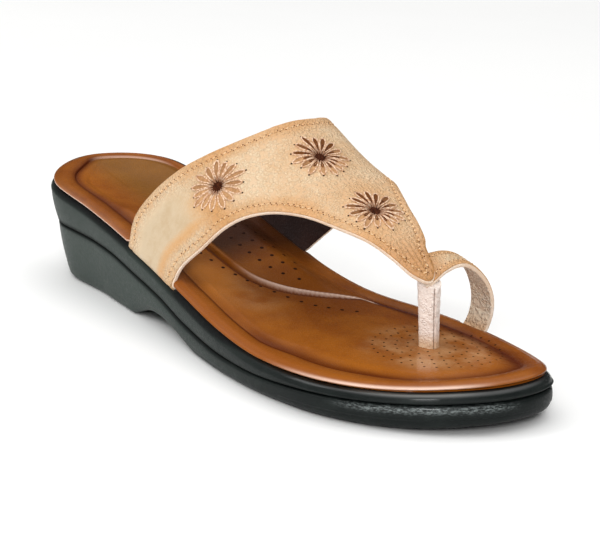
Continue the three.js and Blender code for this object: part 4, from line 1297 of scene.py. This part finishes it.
# Places for stitches a set way in from an edge of a laid sheet, on the finished surface
def sewnAlong(sheet, normals, rows, edge, inside, distance, clear, surface):
    line, ups = placed(sheet[rows, edge]), normals[rows, edge]
    inward = np.cross(unit(np.gradient(line, axis=0)), ups)
    into = placed(sheet[rows, inside]) - line
    inward *= np.sign(np.sum(inward * into, axis=1))[:, None]
    moved, tree = line + inward * distance, treeOf(line)
    kept = [k for k, spot in enumerate(moved) if tree.find(spot)[2] > distance * clear]
    line, ups = moved[kept], ups[kept]
    run = runAlong(line)
    pitch = stitches["pitch"] * mm
    at = np.arange(pitch * 0.5, run[-1], pitch)
    found = []
    for spot, normal, way in zip(*(takenAt(at, run, v) for v in (line, ups, np.gradient(line, axis=0)))):
        hit, face, _, away = surface.find_nearest(Vector(spot))
        if hit is not None and away < stitches["reach"] * mm:
            if face.dot(Vector(normal)) < 0:
                face = -face
            found.append((hit, face.normalized(), Vector(way).normalized()))
    return found


def stitchPlaces():
    points, row, _ = strapGrid(0, 0)
    loop, loopNormal, share = ringGrid(0.0)
    loop = loop + loopNormal * toeRing["half"]
    places = []
    for shape, sheet, normal, along, surface in (
        (strap, points, facing(points), row[:, 0], strapSurface),
        (toeRing, loop, loopNormal, share, ringSurface),
    ):
        first, last = shape["sewn"]
        rows, step = np.where((along > first) & (along < last))[0], shape["sewnStep"]
        distance, clear = shape["stitchIn"] * mm, shape["sewnClear"]
        for edge, inside in ((0, step), (-1, -1 - step)):
            places += sewnAlong(sheet, normal, rows, edge, inside, distance, clear, surface)
    return places


def makeStitches(look):
    spots = stitchPlaces()
    half = look["length"] * mm / 2
    shape = added(bpy.ops.mesh.primitive_uv_sphere_add, segments=8, ring_count=7, radius=0.5)
    laid = pointsOf(shape)[:, [2, 0, 1]]  # poles along the stitch
    laid *= np.array([look["length"], look["width"], look["height"]]) * mm
    laid[:, 2] -= look["dip"] * mm * (laid[:, 0] / half) ** 2  # ends dip into their holes
    places = [turned(hit, up, way, look["slant"], look["lift"] * mm) for hit, up, way in spots]
    settle(joinedCopies("edgeStitches", setPoints(shape, laid), places), materials["stitch"], "upper")
    shape = added(bpy.ops.mesh.primitive_ico_sphere_add, subdivisions=1, radius=look["hole"] * mm)
    setPoints(shape, pointsOf(shape) * np.array(look["holeFlat"]))
    places = []
    for hit, up, way in spots:
        turn = turned(hit, up, way, look["slant"])
        for end in (-half, half):
            spot = Vector((end * look["holeOut"], 0, look["holeUp"] * mm))
            places.append(Matrix.Translation(turn @ spot - hit) @ turn)
    settle(joinedCopies("stitchHoles", shape, places), materials["needle"], "upper")
    return len(spots)


print("stitches sewn:", makeStitches(stitches))


# Lays a flat pattern round a rosette's centre on the strap: millimetres along, across and up
def layRound(centre, along, across, up, flat):
    start = placed(np.array([centre]))[0]
    result = []
    for a, b, height in flat:
        over = Vector(start + (along * a + across * b + up * rosette["above"]) * mm)
        hit = strapSurface.ray_cast(over, Vector(-up))[0]
        if hit is None:
            hit = strapSurface.find_nearest(over)[0]
        result.append(np.array(hit) + up * height * mm)
    return np.array(result)


# Half width of a petal along its length, widest past the middle
leafForm = {"rise": 1.15, "fall": 0.55, "peak": 0.333}


def leafWidth(t):
    return t ** leafForm["rise"] * (1 - t) ** leafForm["fall"] / leafForm["peak"]


# A ring is added and drawn out into the loop of thread round one petal
def threadLoop(inner, outer, half, thread):
    hoop = {"major_segments": 22, "minor_segments": 6, "major_radius": 1, "minor_radius": 0.2}
    loop = added(bpy.ops.mesh.primitive_torus_add, **hoop)
    x, y, z = pointsOf(loop).T
    angle = np.arctan2(y, x)
    off, up = (np.hypot(x, y) - 1) / hoop["minor_radius"], z / hoop["minor_radius"]
    t = (1 + np.cos(angle)) / 2
    leaf = np.stack([mix(inner, outer, t), half * leafWidth(t) * np.sign(np.sin(angle))], 1)
    outward = unit(np.stack([half * np.cos(angle), (outer - inner) / 2 * np.sin(angle)], 1))
    flat = leaf + outward * (off * thread)[:, None]
    return setPoints(loop, np.concatenate([flat, (up * thread)[:, None]], 1))


def petalPatch(look):
    patch = added(bpy.ops.mesh.primitive_grid_add, x_subdivisions=9, y_subdivisions=2, size=2)
    base = pointsOf(patch)
    along = mix(look["patchFrom"], look["outer"], (1 + base[:, 0]) / 2)
    share = np.clip((along - look["inner"]) / (look["outer"] - look["inner"]), 0, 1)
    aside = look["patchHalf"] * leafWidth(share) * base[:, 1]
    return setPoints(patch, np.stack([along, aside, 0 * along], 1))


def eyePatch(look):
    eye = added(bpy.ops.mesh.primitive_uv_sphere_add, segments=22, ring_count=6, radius=look["hole"])
    base = pointsOf(eye)
    angle = np.arctan2(base[:, 1], base[:, 0])
    ragged = np.ones_like(angle)
    for by, waves in look["eyeRagged"]:
        ragged += by * np.sin(angle * waves)
    return setPoints(eye, base * np.stack([ragged, ragged, 0 * ragged + look["eyeFlat"]], 1))


# A small stray from one petal to the next
def stray(wave, petal, start):
    by, pitch = wave
    return by * np.sin(petal * pitch + start)


# Each petal's rosette, turn and length, and its painted shade, darker where the petal points uphill
def petalsOf(look):
    petals, shades = [], []
    steady, tilted, least = look["hideShade"]
    for number, where in enumerate(rosettes):
        _, along, across, normal = where
        rise = unit(np.array([0, 0, 1]) - normal * normal[2])
        for petal in range(look["petals"]):
            turn = (2 * np.pi * petal - number) / look["petals"] + stray(look["turnStray"], petal, number)
            cosTurn, sinTurn = np.cos(turn), np.sin(turn)
            stretch = 1 + stray(look["lengthStray"], petal, number)
            petals.append((number, where, cosTurn, sinTurn, stretch))
            # painted shade: a petal pointing uphill has walls facing down
            upward = (along * cosTurn + across * sinTurn) @ rise
            shade = steady + tilted * upward + stray(look["shadeStray"], petal, number * 2)
            shades.append(np.clip(shade, least, 1) * look["depth"][number])
    return petals, shades


def makeRosettes(look):
    petals, shades = petalsOf(look)

    def laidAt(lift, shift=0.0, sewn=range(len(rosettes))):
        def oneOf(where, cosTurn, sinTurn, stretch):
            def lay(points):
                a, b = (points[:, 0] + shift) * stretch, points[:, 1]
                flat = [a * cosTurn - b * sinTurn, a * sinTurn + b * cosTurn, points[:, 2] + lift]
                return layRound(*where, np.stack(flat, 1))
            return lay
        return [oneOf(*petal) for number, *petal in petals if number in sewn]

    eyes = placed(np.array([where[0] for where in rosettes]))
    inner, lift = look["inner"], look["lift"]
    longLoop = threadLoop(inner, look["outer"], look["halfWidth"], look["thread"])
    longThreads = joinedCopies("rosetteThreads", longLoop, laidAt(lift))
    shortLoop = threadLoop(inner, look["shortOuter"], look["shortHalf"], look["shortThread"])
    shortThreads = joinedCopies("rosetteShortThreads", shortLoop, laidAt(lift, sewn=look["shortSewn"]))
    for piece, kind in ((longThreads, "silk"), (shortThreads, "brownSilk")):
        away = nearTo(pointsOf(piece), eyes) / mm
        mark(piece, shade=sharesOf(look, away=away)("shade"))
        settle(piece, materials[kind], "upper")
    patches = joinedCopies("rosettePetals", petalPatch(look), laidAt(look["patchLift"]), shade=shades)
    settle(patches, materials["petal"], "upper")
    # flat dark dots of painted shade for the holes at the petals' ends
    dot = added(bpy.ops.mesh.primitive_ico_sphere_add, subdivisions=1, radius=look["endHole"])
    setPoints(dot, pointsOf(dot) * np.array(look["endFlat"]))
    ends = joinedCopies("rosetteEndHoles", dot, laidAt(0, look["outer"] + look["endGap"]))
    settle(ends, materials["hole"], "upper")
    # a ragged dark patch of painted shade for each rosette's eye
    places = [lambda points, where=where: layRound(*where, points) for where in rosettes]
    settle(joinedCopies("rosetteEyes", eyePatch(look), places), materials["eye"], "upper")


makeRosettes(rosette)
print("rosettes sewn:", len(rosettes))

# Punched air holes, each a flat dark disc of painted shade: rings of holes round the post, rows over the arch
# pad, a line outside its ridge
punched = {
    "radius": 0.75, "flat": 0.12, "toeSize": 0.6, "toeCentre": (82, 12), "pitch": 4.1, "clearOfPost": 6,
    "toeFrom": 50, "above": 0.2,
    "toeRings": [6.4, 10.4, 14.4, 18.4, 22.4],
    "padRows": [(10.8, -36, 13), (16.6, -39, 8), (22.2, -36, 4)], "padPitch": 5.8,
    "line": [
        (-33, -13.5), (-27, -14), (-21.4, -14.1), (-15.5, -13.4), (-9.6, -12.2), (-4, -10.8), (1.3, -9.2),
        (6.8, -7.3), (12.4, -5.2), (17.8, -3.2), (23, -1), (27.9, 1.6), (31.6, 4.7), (35.5, 7.7),
        (39.2, 11.6),
    ],
}


def punchedSpots(look):
    spots, (toeX, toeY) = [], look["toeCentre"]
    for ring, radius in enumerate(look["toeRings"]):
        count = int(round(2 * np.pi * radius / look["pitch"]))
        for k in range(count):
            turn = 2 * np.pi * (k + 0.5 * (ring % 2)) / count
            spots.append((toeX + radius * math.cos(turn), toeY + radius * math.sin(turn)))
    for number, (beyond, low, high) in enumerate(look["padRows"]):
        for x in np.arange(low + (number % 2) * look["padPitch"] / 2, high, look["padPitch"]):
            spots.append((x, float(ridgeAt(x)) + beyond))
    return spots + look["line"]


def makePunched(look):
    dot = added(bpy.ops.mesh.primitive_uv_sphere_add, segments=10, ring_count=4, radius=look["radius"] * mm)
    setPoints(dot, pointsOf(dot) * np.array([1, 1, look["flat"]]))
    places = []
    for x, y in punchedSpots(look):
        if math.hypot(x - post["x"], y - post["footY"]) < look["clearOfPost"]:
            continue
        above = Vector(((x - middleX) * mm, y * mm, look["above"]))
        hit, up, _, _ = footbedSurface.ray_cast(above, Vector((0, 0, -1)))
        if hit is not None:
            size = look["toeSize"] if x > look["toeFrom"] else 1
            places.append(turned(hit, up, Vector((1, 0, 0))) @ Matrix.Scale(size, 4))
    settle(joinedCopies("airHoles", dot, places), materials["hole"], "insole")
    return len(places)


print("air holes punched:", makePunched(punched))

# Floor, light and camera
studio = {
    "floor": (tone(250, 250, 249), tone(247, 247, 246)), "floorSize": 8,
    "horizon": 0.06, "overhead": 1.75, "glow": (0.42, 0.92), "aim": (0, 0, 0.03),
    "lamps": {  # place, size and power
        "keyLight": ((-0.55, -1.0, 0.8), 0.6, 5.8), "frontLight": ((0.95, -0.75, 0.6), 0.35, 6.8),
    },
}


def makeStudio(look):
    floor = added(bpy.ops.mesh.primitive_plane_add, size=look["floorSize"], location=(0, 0, 0))
    floor.name = "floor"
    material, tree, shader, place = newMaterial("paleFloor", {"Roughness": 0.6})
    pale = blend(tree, ranged(tree, noise(tree, place, 3), 0.3, 0.7), *look["floor"])
    feed(tree, shader.inputs["Base Color"], pale)
    floor.data.materials.append(material)
    world = bpy.data.worlds.new("softRoom")
    world.use_nodes = True
    room = world.node_tree
    split = room.nodes.new("ShaderNodeSeparateXYZ")
    feed(room, split.inputs[0], room.nodes.new("ShaderNodeTexCoord").outputs["Generated"])
    glow = ranged(room, split.outputs["Z"], *look["glow"], look["horizon"], look["overhead"])
    feed(room, room.nodes["Background"].inputs["Strength"], glow)
    room.nodes["Background"].inputs["Color"].default_value = (1, 1, 1, 1)
    bpy.context.scene.world = world
    for name, (spot, size, power) in look["lamps"].items():
        lamp = added(bpy.ops.object.light_add, type="AREA", location=spot)
        lamp.name = name
        lamp.data.size, lamp.data.energy = size, power
        lamp.rotation_mode = "QUATERNION"
        lamp.rotation_quaternion = (Vector(look["aim"]) - Vector(spot)).to_track_quat("-Z", "Y")
    bpy.context.scene.view_settings.view_transform = "Standard"


# The camera's place in millimetres, its axes, the picture's offset, focal length and width in pixels
view = {
    "place": (595.22, -463.80, 241.07), "back": (0.70193, -0.65738, 0.27415),
    "right": (0.67006, 0.73998, 0.05876), "aim": (-103, 5.5), "focal": 1427.6,
    "closer": 1.5, "width": 600, "sensor": 36, "clip": (0.01, 50),
}


def makeCamera(look):
    back, right = Vector(look["back"]).normalized(), Vector(look["right"])
    up = back.cross(right)
    back = -(-back * look["focal"] + right * look["aim"][0] + up * look["aim"][1]).normalized()
    right = (right - back * right.dot(back)).normalized()
    camera = added(bpy.ops.object.camera_add)
    camera.name = "camera"
    camera.data.sensor_width = look["sensor"]
    camera.data.lens = look["focal"] * look["closer"] * look["sensor"] / look["width"]
    camera.data.clip_start, camera.data.clip_end = look["clip"]
    camera.matrix_world = frameOf(right, back.cross(right), back, Vector(look["place"]) * mm)
    bpy.context.scene.camera = camera


makeStudio(studio)
makeCamera(view)
print("studio and camera set")
